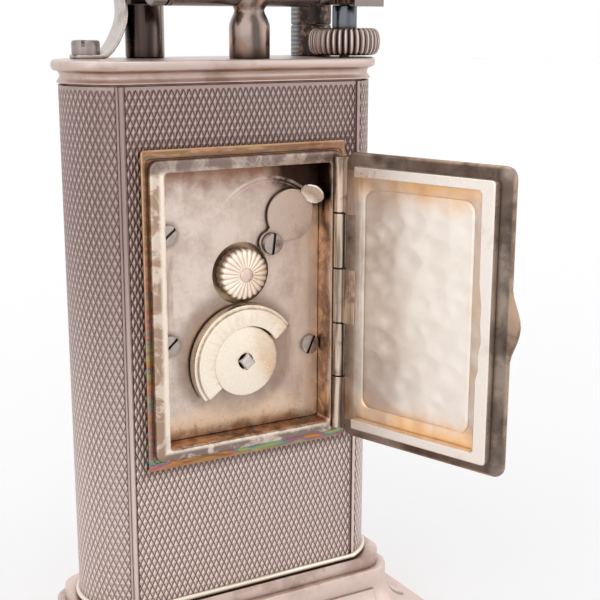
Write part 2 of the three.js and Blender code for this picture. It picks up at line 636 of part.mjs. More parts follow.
// Door, drawn closed about its hinge line and then swung open.
function makeDoor() {
  const [near, far] = [-door.innerFace, door.thick - door.innerFace];
  const halfHigh = bezelHigh / 2;
  const halfWide = (doorWidth - door.start) / 2;
  const middle = [door.start + halfWide, clockZ];
  const plate = facing(rectangle(halfWide, halfHigh, door.cornerRadius, middle), near, far, door.soft);
  const lugRadius = ((door.lugLength / 2) ** 2 + door.lugProud ** 2) / (2 * door.lugProud);
  const lugCentre = doorWidth + door.lugProud - lugRadius;
  const lugZone = block(
    [doorWidth - door.rimEdgeThick, near - overrun, clockZ - door.lugLength],
    [doorWidth + door.lugLength, far + overrun, clockZ + door.lugLength],
  );
  const lug = facing(ring(lugRadius, [lugCentre, clockZ]), near, far, door.soft).intersect(lugZone);

  const rimHalf = openHigh / 2 - gap;
  const rimRight = openWide / 2 - hinge.x - gap;
  const rimLow = near - door.rimHeight;
  const rimOutline = rectangle(rimRight / 2, rimHalf, clock.openRadius, [rimRight / 2, clockZ]);
  const rimOuter = facing(rimOutline, rimLow, near + door.rimRoot);
  const innerHalf = rimHalf - door.rimThick;
  const innerRight = rimRight - door.rimEdgeThick;
  const rimInner = block(
    [-overrun, rimLow - overrun, clockZ - innerHalf], [innerRight, near, clockZ + innerHalf],
  );
  const rimEnd = block(
    [-overrun, rimLow - overrun, clockZ - halfHigh], [door.rimStart, far, clockZ + halfHigh],
  );
  const [panelLeft, panelRight] = [door.rimStart + door.panelHingeInset, innerRight - door.panelInset];
  const panelOutline = rectangle(
    (panelRight - panelLeft) / 2, innerHalf - door.panelInset, door.cornerRadius,
    [(panelRight + panelLeft) / 2, clockZ],
  );
  const panel = facing(panelOutline, near - overrun, near + door.panelDeep);
  let shape = union(plate, lug, cutAll(rimOuter, rimInner, rimEnd)).subtract(panel);
  for (const index of [0, 2, 4]) {
    const [low, high] = knuckle(index);
    const web = block([0, near, low], [door.start + door.soft * 2, far, high]);
    shape = union(shape, web, rod("z", door.barrelRadius, low, high, [0, 0, 0], sides.pin));
  }
  const reach = halfHigh + overrun;
  const pinHole = rod("z", door.pinRadius + running, clockZ - reach, clockZ + reach, [0, 0, 0], sides.pin);
  const swung = { at: [hinge.x, hinge.y, 0], turn: [0, 0, THREE.MathUtils.degToRad(door.opening)] };
  piece("door", shape.subtract(pinHole), "palePlate", swung);
}

// Cover plate of the movement and its three screws.
function makeCover() {
  const half = [openWide / 2 - cover.edge, openHigh / 2 - cover.edge];
  const across = (radius, x, z, count) => rod(
    "y", radius, coverBack - overrun, coverFace + overrun, [x, 0, z], count,
  );
  const plate = facing(rectangle(...half, clock.openRadius, [0, clockZ]), coverBack, coverFace);
  const holes = screwAt.map(({ x, z }) => across(screws.radius + running, x, z, sides.pin));
  piece("movement_cover", cutAll(
    plate, ...holes,
    across(knob.radius + cover.knobRoom, 0, knobZ),
    across(key.arborRadius + cover.arborRoom, 0, keyZ),
    across(regulator.radius - cover.regulatorLap, -discOut, knobZ + discUp),
    across(regulator.screwRadius + running, -regulator.pivotOut, knobZ + regulator.pivotUp, sides.pin),
  ), "palePlate");

  for (const { name, x, z, turn } of screwAt) {
    const top = coverFace + screws.headHeight;
    const steps = [
      [screws.radius, coverFace - screws.length], [screws.radius, coverFace], [screws.headRadius, coverFace],
      [screws.headRadius, top - screws.headSoft], [screws.headRadius - screws.headSoft, top],
    ];
    const head = turned("y", steps, [x, 0, z], sides.pin);
    piece(`cover_screw_${name}`, head.subtract(slotY(x, z, top, screws, turn)), "steel");
  }
}

// Round set knob with a domed, fluted face, on the centre arbor.
function makeKnob() {
  const low = coverFace - knob.sunk;
  const top = low + knob.height;
  const levels = [[1, low], [1, top - knob.crown]];
  for (const share of knob.crownShares) {
    const rise = knob.crown * Math.sin(share * (Math.PI / 2));
    levels.push([1 - share * (1 - knob.bossRadius / knob.radius), top - knob.crown + rise]);
  }
  const skin = levels.map(
    ([share, y]) => [fluted(knob.radius * share, knob.fluteDeep * share, knob.flutes), y],
  );
  const dome = solid(loft(skin).rotateX(-Math.PI / 2).translate(0, 0, knobZ));
  const boss = rod("y", knob.bossRadius, low, top + knob.bossHeight, [0, 0, knobZ], sides.pin);
  const bore = rod(
    "y", works.arborRadius + running, low - overrun, top - knob.crown, [0, 0, knobZ], sides.pin,
  );
  piece("set_knob", dome.add(boss).subtract(bore), "nickel");
}

// The key's own plane stands across Y and is seen from the back.
const standing = new THREE.Matrix4().makeBasis(
  new THREE.Vector3(-1, 0, 0), new THREE.Vector3(0, 0, 1), new THREE.Vector3(0, 1, 0),
);

// Winding key: arbor with a square, disc, folding half-moon grip and its two pins.
function makeKey() {
  const low = coverFace + gap;
  const discTop = low + key.discThick;
  const squareTop = coverFace + key.squareTop;
  const half = key.square / 2;
  const square = (grow, from, to) => {
    const bar = new THREE.BoxGeometry(2 * (half + grow), to - from, 2 * (half + grow)).rotateY(Math.PI / 4);
    return solid(bar.translate(0, (from + to) / 2, keyZ));
  };
  const arbor = rod("y", key.arborRadius, frontPlateLow, low - running, [0, 0, keyZ], sides.post);
  piece("winding_arbor", union(arbor, square(0, low - 2 * running, squareTop)), "steel");

  const line = THREE.MathUtils.degToRad(key.tilt);
  const pivotY = (low + discTop) / 2;
  const pinAt = (radius, from, to) => [0, Math.PI].map((turn) => {
    const bar = new THREE.CylinderGeometry(radius, radius, to - from, sides.pin)
      .translate(0, (from + to) / 2, 0);
    return solid(bar.rotateZ(line + turn - Math.PI / 2).applyMatrix4(standing).translate(0, pivotY, keyZ));
  });
  const disc = rod("y", key.discRadius, low, discTop, [0, 0, keyZ], sides.disc);
  const pinFrom = key.discRadius - key.pinLength / 2;
  const pinBore = key.pinRadius + running / 2;
  const bored = cutAll(
    disc, square(running / 2, low - overrun, discTop + overrun),
    ...pinAt(pinBore, pinFrom - running, moonOuter),
  );
  piece("winding_disc", bored, "nickel");

  const from = line - THREE.MathUtils.degToRad(key.past);
  const sweep = Math.PI + 2 * THREE.MathUtils.degToRad(key.past);
  const steps = sides.disc / 2;
  const arc = (radius) => Array.from({ length: steps + 1 }, (_, i) => {
    const angle = from + (sweep * i) / steps;
    return new THREE.Vector2(-radius * Math.cos(angle), keyZ + radius * Math.sin(angle));
  });
  const moon = (outer, near, far) => facing([...arc(outer), ...arc(moonInner).reverse()], near, far);
  const moonTop = low + key.thick;
  const grip = union(moon(moonOuter, low, moonTop - key.stepDeep), moon(moonOuter - key.step, low, moonTop));
  piece(
    "winding_crescent",
    cutAll(grip, ...pinAt(pinBore, key.discRadius - key.pinLength, moonOuter + overrun)), "nickel",
  );
  pinAt(key.pinRadius, pinFrom, pinFrom + 2 * key.pinLength).forEach((pin, i) => {
    piece(`crescent_pin_${i + 1}`, pin, "steel");
  });
}

// Swinging cover over the regulator, its screw, and the index behind it.
function makeRegulator() {
  const low = coverFace + gap;
  const top = low + regulator.thick;
  const [cx, cz] = [-discOut, knobZ + discUp];
  const [px, pz] = [-regulator.pivotOut, knobZ + regulator.pivotUp];
  const [tx, tz] = [cx - regulator.tabOut, cz + regulator.tabUp];
  const strap = (ax, az, bx, bz, radius) => {
    const wide = 2 * radius * regulator.strapShare;
    const bar = new THREE.BoxGeometry(Math.hypot(bx - ax, bz - az), regulator.thick, wide);
    bar.rotateY(-Math.atan2(bz - az, bx - ax));
    return solid(bar.translate((ax + bx) / 2, (low + top) / 2, (az + bz) / 2));
  };
  const tabTop = low + regulator.tabThick;
  const tab = [
    [regulator.tabRadius, low], [regulator.tabRadius, tabTop - regulator.tabSoft],
    [regulator.tabRadius - regulator.tabSoft, tabTop],
  ];
  const plate = union(
    rod("y", regulator.radius, low, top, [cx, 0, cz], sides.disc),
    rod("y", regulator.neck, low, top, [px, 0, pz]),
    strap(px, pz, cx, cz, regulator.neck),
    strap(cx, cz, tx, tz, regulator.tabRadius),
    turned("y", tab, [tx, 0, tz]),
  );
  const hole = rod(
    "y", regulator.screwRadius + running, low - overrun, low + overrun, [px, 0, pz], sides.pin,
  );
  piece("regulator_cover", plate.subtract(hole), "nickel");

  const headLow = top + running;
  const headTop = headLow + regulator.headHeight;
  const steps = [
    [regulator.screwRadius, coverBack - gap], [regulator.screwRadius, headLow],
    [regulator.headRadius, headLow],
    [regulator.headRadius, headTop],
  ];
  const slot = slotY(px, pz, headTop, { ...screws, headRadius: regulator.headRadius }, Math.PI / 2);
  piece("regulator_screw", turned("y", steps, [px, 0, pz], sides.pin).subtract(slot), "steel");

  const indexLow = backPlateTop + running;
  const indexTop = indexLow + regulator.indexThick;
  const index = union(
    rod("y", regulator.indexRadius, indexLow, indexTop, [cx, 0, cz]),
    block(
      [cx, indexLow, cz - regulator.indexWide / 2],
      [cx + regulator.indexLength, indexTop, cz + regulator.indexWide / 2],
    ),
  );
  const staffHole = rod(
    "y", balance.staffRadius + gap, indexLow - overrun, indexTop + overrun, [cx, 0, cz], sides.pin,
  );
  piece("regulator_index", index.subtract(staffHole), "steel");
}

// Movement plates, wheels and arbors.
function makeMovement() {
  const centre = [0, knobZ];
  const third = [train.thirdX, knobZ + train.thirdUp];
  const staff = [-discOut, knobZ + discUp];
  const minuteReach =
    (Math.SQRT2 * (motion.minuteTeeth + 2 * tooth.addendum)) / (motion.minuteTeeth + motion.cannonTeeth);
  const studOut = (openWide / 2 - motion.edge) / (1 + minuteReach);
  const minuteStud = [studOut, knobZ - studOut];
  const across = (radius, x, z) => rod("y", radius, -face, face, [x, 0, z], sides.pin);
  const arborHoles = [
    across(works.arborRadius + running, ...centre), across(key.arborRadius + running, 0, keyZ),
  ];
  const smallHoles = [
    across(balance.staffRadius + running, ...staff), across(motion.studRadius + running, ...third),
  ];
  const [half, halfHigh] = [openWide / 2 - works.edge, openHigh / 2 - works.edge];
  const outline = rectangle(half, halfHigh, clock.openRadius, [0, clockZ]);

  const holes = [
    ...arborHoles, ...smallHoles, ...screwAt.map(({ x, z }) => across(screws.radius + running, x, z)),
  ];
  piece("movement_back_plate", cutAll(facing(outline, backPlateLow, backPlateTop), ...holes), "brass");

  const pillars = [];
  for (const sx of [-1, 1]) {
    for (const sz of [-1, 1]) {
      const seat = [sx * (half - works.pillarInset), 0, clockZ + sz * (halfHigh - works.pillarInset)];
      pillars.push(
        rod("y", works.pillarRadius, frontPlateTop - works.plateThick / 2, backPlateLow, seat, sides.pin),
      );
    }
  }
  const hourLow = dialFace + motion.dialGap;
  const rooted = frontPlateTop - works.plateThick / 2;
  const stud = rod(
    "y", motion.studRadius, hourLow - 2 * running, rooted, [studOut, 0, minuteStud[1]], sides.pin,
  );
  const frontPlate = cutAll(facing(outline, frontPlateLow, frontPlateTop), ...arborHoles, ...smallHoles);
  piece("movement_front_plate", union(frontPlate, ...pillars, stud), "brass");

  const barrelLow = frontPlateTop + gap;
  const drumTop = backPlateLow - 2 * gap - train.wheelThick;
  const drumRadius = barrelPitch * (1 - (2 * tooth.dedendum) / barrel.teeth) - barrel.drumStep;
  const up = Math.PI / 2;
  const drum = union(
    facing(gear(barrel.teeth, barrelPitch, [0, keyZ], up), barrelLow, barrelLow + barrel.toothThick),
    rod("y", drumRadius, barrelLow, drumTop, [0, 0, keyZ], sides.disc),
  );
  piece("mainspring_barrel", cutAll(
    drum,
    rod(
      "y", drumRadius - barrel.wall, barrelLow + barrel.toothThick, drumTop + overrun, [0, 0, keyZ],
      sides.disc,
    ),
    rod("y", barrel.arborHole, barrelLow - overrun, drumTop, [0, 0, keyZ], sides.pin),
  ), "brass");
  const springOut = drumRadius - barrel.wall - barrel.springGap;
  const springLow = barrelLow + barrel.toothThick + running;
  const coil = rod("y", springOut, springLow, drumTop - running, [0, 0, keyZ]);
  piece(
    "mainspring", coil.subtract(rod("y", barrel.springInner, barrelLow, drumTop + overrun, [0, 0, keyZ])),
    "steel",
  );

  const pinionTeeth = gear(
    barrel.pinionTeeth, arborSpan - barrelPitch, centre, -up + Math.PI / barrel.pinionTeeth,
  );
  const pinion = facing(pinionTeeth, barrelLow - running, barrelLow + train.pinionThick);
  const thirdSpan = Math.hypot(train.thirdX, train.thirdUp);
  const wheelPitch = (thirdSpan * train.wheelTeeth) / (train.wheelTeeth + train.pinionTeeth);
  const thirdAngle = Math.atan2(train.thirdUp, train.thirdX);
  const wheelLow = drumTop + gap;
  const wheel = facing(
    gear(train.wheelTeeth, wheelPitch, centre, thirdAngle), wheelLow, wheelLow + train.wheelThick,
  );
  const minuteLow = dialFace - dial.thick - 2 * hands.spread - 2 * hands.thick;
  const arborTop = coverFace - knob.sunk + knob.height - knob.crown - running;
  const arbor = rod("y", works.arborRadius, minuteLow, arborTop, [0, 0, knobZ], sides.pin);
  piece("centre_wheel", union(arbor, pinion, wheel), "brass");

  const thirdPhase = thirdAngle + Math.PI + Math.PI / train.pinionTeeth;
  const thirdTeeth = gear(train.pinionTeeth, thirdSpan - wheelPitch, third, thirdPhase);
  const thirdPinion = facing(thirdTeeth, wheelLow - running, wheelLow + train.wheelThick + running);
  const thirdWheelLow = frontPlateTop + gap;
  piece("third_wheel", union(
    rod("y", motion.studRadius, frontPlateLow, backPlateTop, [third[0], 0, third[1]], sides.pin),
    thirdPinion,
    rod(
      "y", train.thirdRadius, thirdWheelLow, thirdWheelLow + train.wheelThick, [third[0], 0, third[1]],
      sides.disc,
    ),
  ), "brass");

  const balanceLow = frontPlateTop + 2 * gap;
  const balanceTop = balanceLow + balance.thick;
  const onStaff = (radius, low, high, count) => rod("y", radius, low, high, [staff[0], 0, staff[1]], count);
  const rim = onStaff(balance.radius, balanceLow, balanceTop, sides.disc)
    .subtract(onStaff(balance.radius - balance.rim, balanceLow - overrun, balanceTop + overrun, sides.disc));
  const inner = balance.radius - balance.rim / 2;
  const spoke = block(
    [staff[0] - inner, balanceLow, staff[1] - balance.spoke / 2], [
      staff[0] + inner, balanceTop, staff[1] + balance.spoke / 2,
    ],
  );
  piece(
    "balance_wheel",
    union(rim, spoke, onStaff(balance.staffRadius, frontPlateLow, backPlateTop, sides.pin)), "brass",
  );

  const ratchetLow = backPlateTop + running;
  const ratchetOutline = Array.from({ length: 2 * ratchet.teeth }, (_, i) => {
    const angle = (Math.floor(i / 2) / ratchet.teeth) * 2 * Math.PI + (i % 2 ? running / ratchet.radius : 0);
    const radius = ratchet.radius - (i % 2 ? 0 : ratchet.deep);
    return new THREE.Vector2(radius * Math.cos(angle), keyZ + radius * Math.sin(angle));
  });
  piece("ratchet_wheel", facing(ratchetOutline, ratchetLow, ratchetLow + ratchet.thick)
    .subtract(rod(
      "y", key.arborRadius + running / 2, ratchetLow - overrun, ratchetLow + overrun, [0, 0, keyZ],
    )), "steel");

  const motionSpan = Math.SQRT2 * studOut;
  const motionAngle = -Math.PI / 4;
  const cannonPitch = (motionSpan * motion.cannonTeeth) / (motion.cannonTeeth + motion.minuteTeeth);
  const hourPitch = (motionSpan * motion.hourTeeth) / (motion.hourTeeth + motion.minutePinionTeeth);
  const cannonTop = frontPlateLow - running;
  const arborHole = rod(
    "y", works.arborRadius + running / 2, -face - overrun, face, [0, 0, knobZ], sides.pin,
  );
  const cannonTeeth = gear(motion.cannonTeeth, cannonPitch, centre, motionAngle);
  piece(
    "cannon_pinion", facing(cannonTeeth, cannonTop - motion.pinionThick, cannonTop).subtract(arborHole),
    "steel",
  );

  const back = motionAngle + Math.PI;
  const minuteTeeth = gear(
    motion.minuteTeeth, motionSpan - cannonPitch, minuteStud, back + Math.PI / motion.minuteTeeth,
  );
  const smallTeeth = gear(motion.minutePinionTeeth, motionSpan - hourPitch, minuteStud, back);
  piece("minute_wheel", union(
    facing(minuteTeeth, cannonTop - motion.thick, cannonTop),
    facing(smallTeeth, hourLow - running, cannonTop - motion.thick),
  ).subtract(rod("y", motion.studRadius + running, -face, face, [studOut, 0, minuteStud[1]], sides.pin)),
  "brass");

  const hourTop = hourLow + motion.thick;
  const pipeRadius = works.arborRadius + running + motion.pipeWall;
  const hourHandLow = dialFace - dial.thick - hands.spread - hands.thick;
  const hourTeeth = gear(motion.hourTeeth, hourPitch, centre, motionAngle + Math.PI / motion.hourTeeth);
  piece("hour_wheel", union(
    facing(hourTeeth, hourLow, hourTop),
    rod("y", pipeRadius, hourHandLow, hourTop, [0, 0, knobZ], sides.pin),
  ).subtract(rod("y", works.arborRadius + running, -face - overrun, face, [0, 0, knobZ], sides.pin)),
  "brass");
  makeDial({ hourHandLow, minuteLow, pipeRadius });
}

// Dial, hands, glass and front bezel.
function makeDial({ hourHandLow, minuteLow, pipeRadius }) {
  const frame = (wide, high, radius, ...depths) => facing(
    rectangle(wide / 2, high / 2, radius, [0, clockZ]), ...depths,
  );
  const within = (edge, ...depths) => frame(
    openWide - 2 * edge, openHigh - 2 * edge, clock.openRadius, ...depths,
  );
  const card = within(dial.edge, dialFace - dial.thick, dialFace);
  piece("dial", card.subtract(rod("y", pipeRadius + running, -face, face, [0, 0, knobZ])), "dial");

  const hand = (length, wide, hub, low, bore) => {
    const shoulder = length * hands.shoulderShare;
    const points = [
      [-hands.tailWide / 2, -hands.tail], [hands.tailWide / 2, -hands.tail], [wide / 2, shoulder],
      [0, length],
      [-wide / 2, shoulder],
    ];
    const blade = facing(points.map(([x, z]) => new THREE.Vector2(x, knobZ + z)), low, low + hands.thick);
    const boss = rod("y", hub, low, low + hands.thick, [0, 0, knobZ]);
    return blade.add(boss).subtract(rod("y", bore, low - overrun, low + overrun, [0, 0, knobZ], sides.pin));
  };
  piece(
    "hour_hand", hand(hands.hourLength, hands.wide, hands.hubRadius, hourHandLow, pipeRadius + running / 2),
    "black",
  );
  const minuteBore = works.arborRadius + running / 2;
  piece(
    "minute_hand", hand(hands.minuteLength, hands.wide, hands.minuteHubRadius, minuteLow, minuteBore),
    "black",
  );

  const front = -face - frontBezel.proud;
  const glassLow = front + glass.depth;
  const bezel = frame(bezelWide, bezelHigh, clock.bezelRadius, front, -face, clock.bezelSoft);
  const flange = frame(flangeWide, flangeHigh, clock.openRadius, -face - clock.flangeThick, -face);
  piece("front_bezel", cutAll(
    bezel.add(flange), within(glass.rebate, front - overrun, -face + overrun),
    within(0, glassLow, -face + overrun),
  ), "silver");
  piece("crystal", within(running, glassLow + running, glassLow + running + glass.thick), "glass");
}

// Lifting arm on its post, with the snuffer cap, the pin and the leaf spring.
function makeArm() {
  const [px, py, pz] = [lift.x, -liftY, plateTop + lift.pivotUp];
  const postTop = pz - lift.earRadius - gap;
  const post = rod("z", lift.postRadius, plateTop, postTop, [px, py, 0]);
  const tenon = rod(
    "z", lift.tenonRadius, plateTop - cap.coveHeight - cap.rimHeight, plateTop + overrun, [px, py, 0],
    sides.pin,
  );
  const eye = union(
    rod("y", lift.eyeRadius, -lift.eyeHalf, lift.eyeHalf, [px, py, pz]),
    block(
      [px - lift.webHalf, py - lift.eyeHalf, postTop - overrun], [px + lift.webHalf, py + lift.eyeHalf, pz],
    ),
  );
  const reach = lift.eyeHalf + running + lift.earThick;
  const pinHole = rod(
    "y", lift.pinRadius + running / 2, -reach - overrun, reach + overrun, [px, py, pz], sides.pin,
  );
  piece("arm_post", union(post, tenon, eye).subtract(pinHole), "dark");
  const pinEnd = reach + lift.pinHead;
  piece("arm_pin", rod("y", lift.pinRadius, -pinEnd, pinEnd, [px, py, pz], sides.pin), "steel");

  const ears = rod("y", lift.earRadius, -reach, reach, [px, py, pz], sides.disc);
  const between = block(
    [px - lift.earRadius - overrun, py - lift.eyeHalf - running, pz - lift.earRadius - overrun],
    [px + lift.earRadius + overrun, py + lift.eyeHalf + running, pz + lift.earRadius - lift.bridgeHeight],
  );
  const capTop = pz + lift.earRadius - lift.barHeight;
  const bar = union(
    block([-wickX, py - lift.barHalf, capTop], [px, py + lift.barHalf, capTop + lift.barHeight]),
    rod("z", snuffer.radius, capTop, capTop + lift.barHeight, [-wickX, -wickY, 0]),
  );
  const armHole = rod(
    "y", lift.pinRadius + running, -reach - overrun, reach + overrun, [px, py, pz], sides.pin,
  );
  const eyeReach = lift.eyeHalf + running;
  const eyeRoom = rod("y", lift.eyeRadius + 2 * running, -eyeReach, eyeReach, [px, py, pz]);
  piece("snuffer_arm", cutAll(union(ears.subtract(between), bar), eyeRoom, armHole), "dark");

  const capLow = plateTop + wick.guardHeight + snuffer.seam;
  const shell = rod("z", snuffer.radius, capLow, capTop, [-wickX, -wickY, 0]);
  const hollow = rod("z", snuffer.bore, capLow - overrun, capTop - snuffer.roof, [-wickX, -wickTubeY, 0]);
  piece("snuffer_cap", shell.subtract(hollow), "dark");

  const footEnd = leafX + leaf.foot / 2;
  const bendX = leafX - leaf.foot / 2;
  const run = bendX - px - lift.postRadius - gap;
  const spine = leaf.routeShares.map(
    ([x, z]) => new THREE.Vector2(bendX - x * run, plateTop + z * leaf.rise),
  );
  const path = new THREE.SplineCurve(spine).getPoints(sides.leaf);
  const far = path.map((p) => new THREE.Vector2(p.x + leaf.thick, p.y + leaf.lean));
  const headLow = plateTop + leaf.thick;
  const outline = [
    ...path.slice().reverse(), new THREE.Vector2(footEnd, plateTop), new THREE.Vector2(footEnd, headLow),
    ...far,
  ];
  const strip = facing(outline, py - leaf.width / 2, py + leaf.width / 2);
  const hole = rod("z", leaf.shank + running, 0, plateTop + overrun, [leafX, py, 0], sides.pin);
  piece("arm_spring", strip.subtract(hole), "palePlate");
  const headTop = headLow + leaf.screwHeight;
  const steps = [
    [leaf.shank, plateTop - cap.rimHeight], [leaf.shank, headLow], [leaf.screwRadius, headLow],
    [leaf.screwRadius, headTop],
  ];
  const slotHalf = leaf.screwRadius + overrun;
  const slot = block(
    [leafX - slotHalf, py - screws.slotWidth / 2, headTop - screws.slotDeep],
    [leafX + slotHalf, py + screws.slotWidth / 2, headTop + overrun],
  );
  piece("arm_spring_screw", turned("z", steps, [leafX, py, 0], sides.pin).subtract(slot), "steel");
}

// Flint tube on its post, with the flint, its spring and the screw behind it.
function makeFlint() {
  const [y, z] = [tubeY, plateTop + flintTube.up];
  const along = (radius, from, to, count) => rod("x", radius, from, to, [0, y, z], count);
  const postX = -tubePost.x;
  const roof = z + flintTube.radius + bracket.roofGap;
  const roofLow = z + spark.steelHeight / 2 + bracket.roofGap;
  const roofTop = roofLow + bracket.roofThick;
  const faceHalf = spark.steelRadius + bracket.side;
  const [outer, inner] = [-sparkX - bracket.faceOut, -sparkX + bracket.faceIn];
  const cage = union(
    block(
      [outer, y + faceHalf, plateTop + bracket.faceLow], [inner, y + faceHalf + bracket.faceThick, roofLow],
    ),
    block(
      [outer, y - faceHalf, roofLow - running], [-flintTube.right, y + faceHalf + bracket.faceThick, roofTop],
    ),
    block(
      [-flintTube.right, y - flintTube.radius, z],
      [-flintTube.right + flintTube.radius, y + flintTube.radius, Math.max(roof, roofTop)],
    ),
  );
  const spindleHole = rod(
    "z", spark.spindleRadius + running, roofLow - overrun, roofTop + overrun, [-sparkX, y, 0], sides.pin,
  );
  const tube = union(along(flintTube.radius, -flintTube.right, flintTube.left), cage);
  const bore = along(flintTube.bore, -flintTube.right - overrun, flintTube.left + overrun);
  piece("flint_tube", cutAll(tube, bore, spindleHole), "dark");

  const steps = [
    [tubePost.radius, plateTop], [tubePost.radius, plateTop + tubePost.shoulder],
    [tubePost.neckRadius, plateTop + tubePost.neckUp], [tubePost.neckRadius, z - tubePost.ballRadius / 2],
  ];
  const ball = solid(
    new THREE.SphereGeometry(tubePost.ballRadius, sides.post, sides.post / 2).translate(postX, y, z),
  );
  const tenonLow = plateTop - cap.coveHeight - cap.rimHeight;
  const tenon = rod("z", tubePost.tenonRadius, tenonLow, plateTop + overrun, [postX, y, 0], sides.pin);
  const post = union(turned("z", steps, [postX, y, 0]), ball, tenon);
  const reach = tubePost.ballRadius + overrun;
  piece(
    "tube_post", post.subtract(along(flintTube.radius + running / 2, postX - reach, postX + reach)), "dark",
  );

  const headLeft = flintTube.left + running;
  const knurled = loft([
    [fluted(flintTube.screwHeadRadius, flintTube.knurlDeep, flintTube.knurls), headLeft],
    [
      fluted(flintTube.screwHeadRadius, flintTube.knurlDeep, flintTube.knurls),
      headLeft + flintTube.screwHead,
    ],
  ]);
  const plugEnd = flintTube.left - flintTube.screwPlug;
  const head = solid(knurled.rotateY(Math.PI / 2).translate(0, y, z));
  piece(
    "flint_screw", head.add(along(flintTube.bore - running, plugEnd, headLeft + flintTube.screwHead / 2)),
    "nickel",
  );

  const flintEnd = -flintTube.right - flintTube.flintProud;
  const flintBack = flintEnd + flintTube.flintLength;
  piece("flint", along(flintTube.bore - running, flintEnd, flintBack, sides.pin), "black");
  const spring = along(flintTube.bore - running, flintBack + running, plugEnd - running, sides.pin);
  piece(
    "flint_spring",
    spring.subtract(along(flintTube.bore / 2, flintBack - overrun, plugEnd + overrun, sides.pin)), "steel",
  );
}

// Thumb wheel and steel striker on one spindle.
function makeSpark() {
  const [x, y] = [-sparkX, tubeY];
  const low = plateTop + spark.wheelLow;
  const top = low + spark.wheelHeight;
  const levels = Array.from({ length: sides.corner + 1 }, (_, i) => {
    const angle = (i / sides.corner - 0.5) * Math.PI;
    const radius = spark.wheelRadius - spark.barrelRound * (1 - Math.cos(angle));
    return [
      fluted(radius, spark.fluteDeep, spark.flutes), low + (spark.wheelHeight * (1 + Math.sin(angle))) / 2,
    ];
  });
  const collarTop = top + collarHeight;
  const steelTop = collarTop + spark.steelHeight;
  const bore = rod(
    "z", spark.spindleRadius + running / 2, plateTop - overrun, steelTop + overrun, [x, y, 0], sides.pin,
  );
  piece("thumb_wheel", solid(loft(levels).translate(x, y, 0)).subtract(bore), "dark");
  const steel = fluted(spark.steelRadius, spark.steelDeep, spark.steelTeeth, 2)
    .map((p) => new THREE.Vector2(p.x + x, p.y + y));
  piece("striker_wheel", upright(steel, collarTop, steelTop).subtract(bore), "steel");
  const pivotTop = steelTop + bracket.roofGap + bracket.roofThick;
  const steps = [
    [spark.spindleRadius, plateTop - spark.spindleDown], [spark.spindleRadius, top],
    [spark.collarRadius, top],
    [spark.collarRadius, collarTop], [spark.spindleRadius, collarTop], [spark.spindleRadius, pivotTop],
  ];
  piece("wheel_spindle", turned("z", steps, [x, y, 0], sides.post), "steel");
}

makeFoot();
makeBody();
makeCap();
makeTank();
makeWick();
makeCase();
makeDoor();
makeCover();
makeKnob();
makeKey();
makeRegulator();
makeMovement();
makeArm();
makeFlint();
makeSpark();

export default object;
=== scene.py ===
import math

import bmesh
import bpy
from mathutils import Matrix, Vector


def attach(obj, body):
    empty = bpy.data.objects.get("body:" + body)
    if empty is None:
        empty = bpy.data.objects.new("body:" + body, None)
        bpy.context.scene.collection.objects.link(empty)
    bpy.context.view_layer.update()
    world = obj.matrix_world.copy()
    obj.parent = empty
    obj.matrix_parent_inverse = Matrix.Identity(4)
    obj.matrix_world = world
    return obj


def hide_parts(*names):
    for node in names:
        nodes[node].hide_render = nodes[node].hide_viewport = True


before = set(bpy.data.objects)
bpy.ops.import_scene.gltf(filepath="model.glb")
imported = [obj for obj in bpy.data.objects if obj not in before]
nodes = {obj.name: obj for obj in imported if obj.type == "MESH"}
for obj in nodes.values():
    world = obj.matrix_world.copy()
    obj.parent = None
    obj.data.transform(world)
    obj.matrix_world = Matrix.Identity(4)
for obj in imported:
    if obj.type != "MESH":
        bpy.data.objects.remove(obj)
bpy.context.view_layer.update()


# Camera. A short telephoto on a full frame, a little above the lighter and to its left, as the
# photograph has it: the open door swings towards the lens.
def aim(place, target):
    """The matrix that stands at a place and looks at a target."""
    return Matrix.Translation(place) @ (target - place).to_track_quat("-Z", "Y").to_matrix().to_4x4()


scene = bpy.context.scene
scene.view_settings.view_transform = "Standard"
lens = bpy.data.cameras.new("camera")
lens.lens = 70.9
lens.sensor_width = 36
lens.clip_start = 0.01
lens.clip_end = 20
camera = bpy.data.objects.new("camera", lens)
scene.collection.objects.link(camera)
eye = Vector((0.0622, 0.1261, 0.0794))
target = Vector((-0.00707, 0.0065, 0.04667))
camera.matrix_world = aim(eye, target) @ Matrix.Rotation(math.radians(0.17), 4, "Z")
scene.camera = camera


# Studio. A white room round the lighter, with three soft boxes: a broad one on the camera's left,
# a weaker one on its right and one overhead.
def linear(code):
    """An sRGB hex colour as linear red, green, blue and alpha."""
    parts = [int(code[i:i + 2], 16) / 255 for i in (1, 3, 5)]
    return tuple(p / 12.92 if p <= 0.04045 else ((p + 0.055) / 1.055) ** 2.4 for p in parts) + (1,)


def add(tree, kind, sockets=None, out=0, **settings):
    """Adds a shader node with its settings, sets or links its sockets, and gives back one output."""
    made = tree.nodes.new("ShaderNode" + kind)
    for name, value in settings.items():
        setattr(made, name, value)
    for socket, value in (sockets or {}).items():
        if isinstance(value, bpy.types.NodeSocket):
            tree.links.new(value, made.inputs[socket])
        else:
            made.inputs[socket].default_value = value
    return made.outputs[out] if made.outputs else None


def empty_material(name):
    """A new material without nodes."""
    made = bpy.data.materials.new(name)
    made.use_nodes = True
    made.node_tree.nodes.clear()
    return made


def seen_or_mirrored(tree):
    """1 for a ray from the camera or off metal or through glass, 0 for the light that falls on things."""
    path = add(tree, "LightPath").node.outputs
    either = add(tree, "Math", {0: path["Is Camera Ray"], 1: path["Is Glossy Ray"]}, operation="MAXIMUM")
    return add(tree, "Math", {0: either, 1: path["Is Transmission Ray"]}, operation="MAXIMUM")


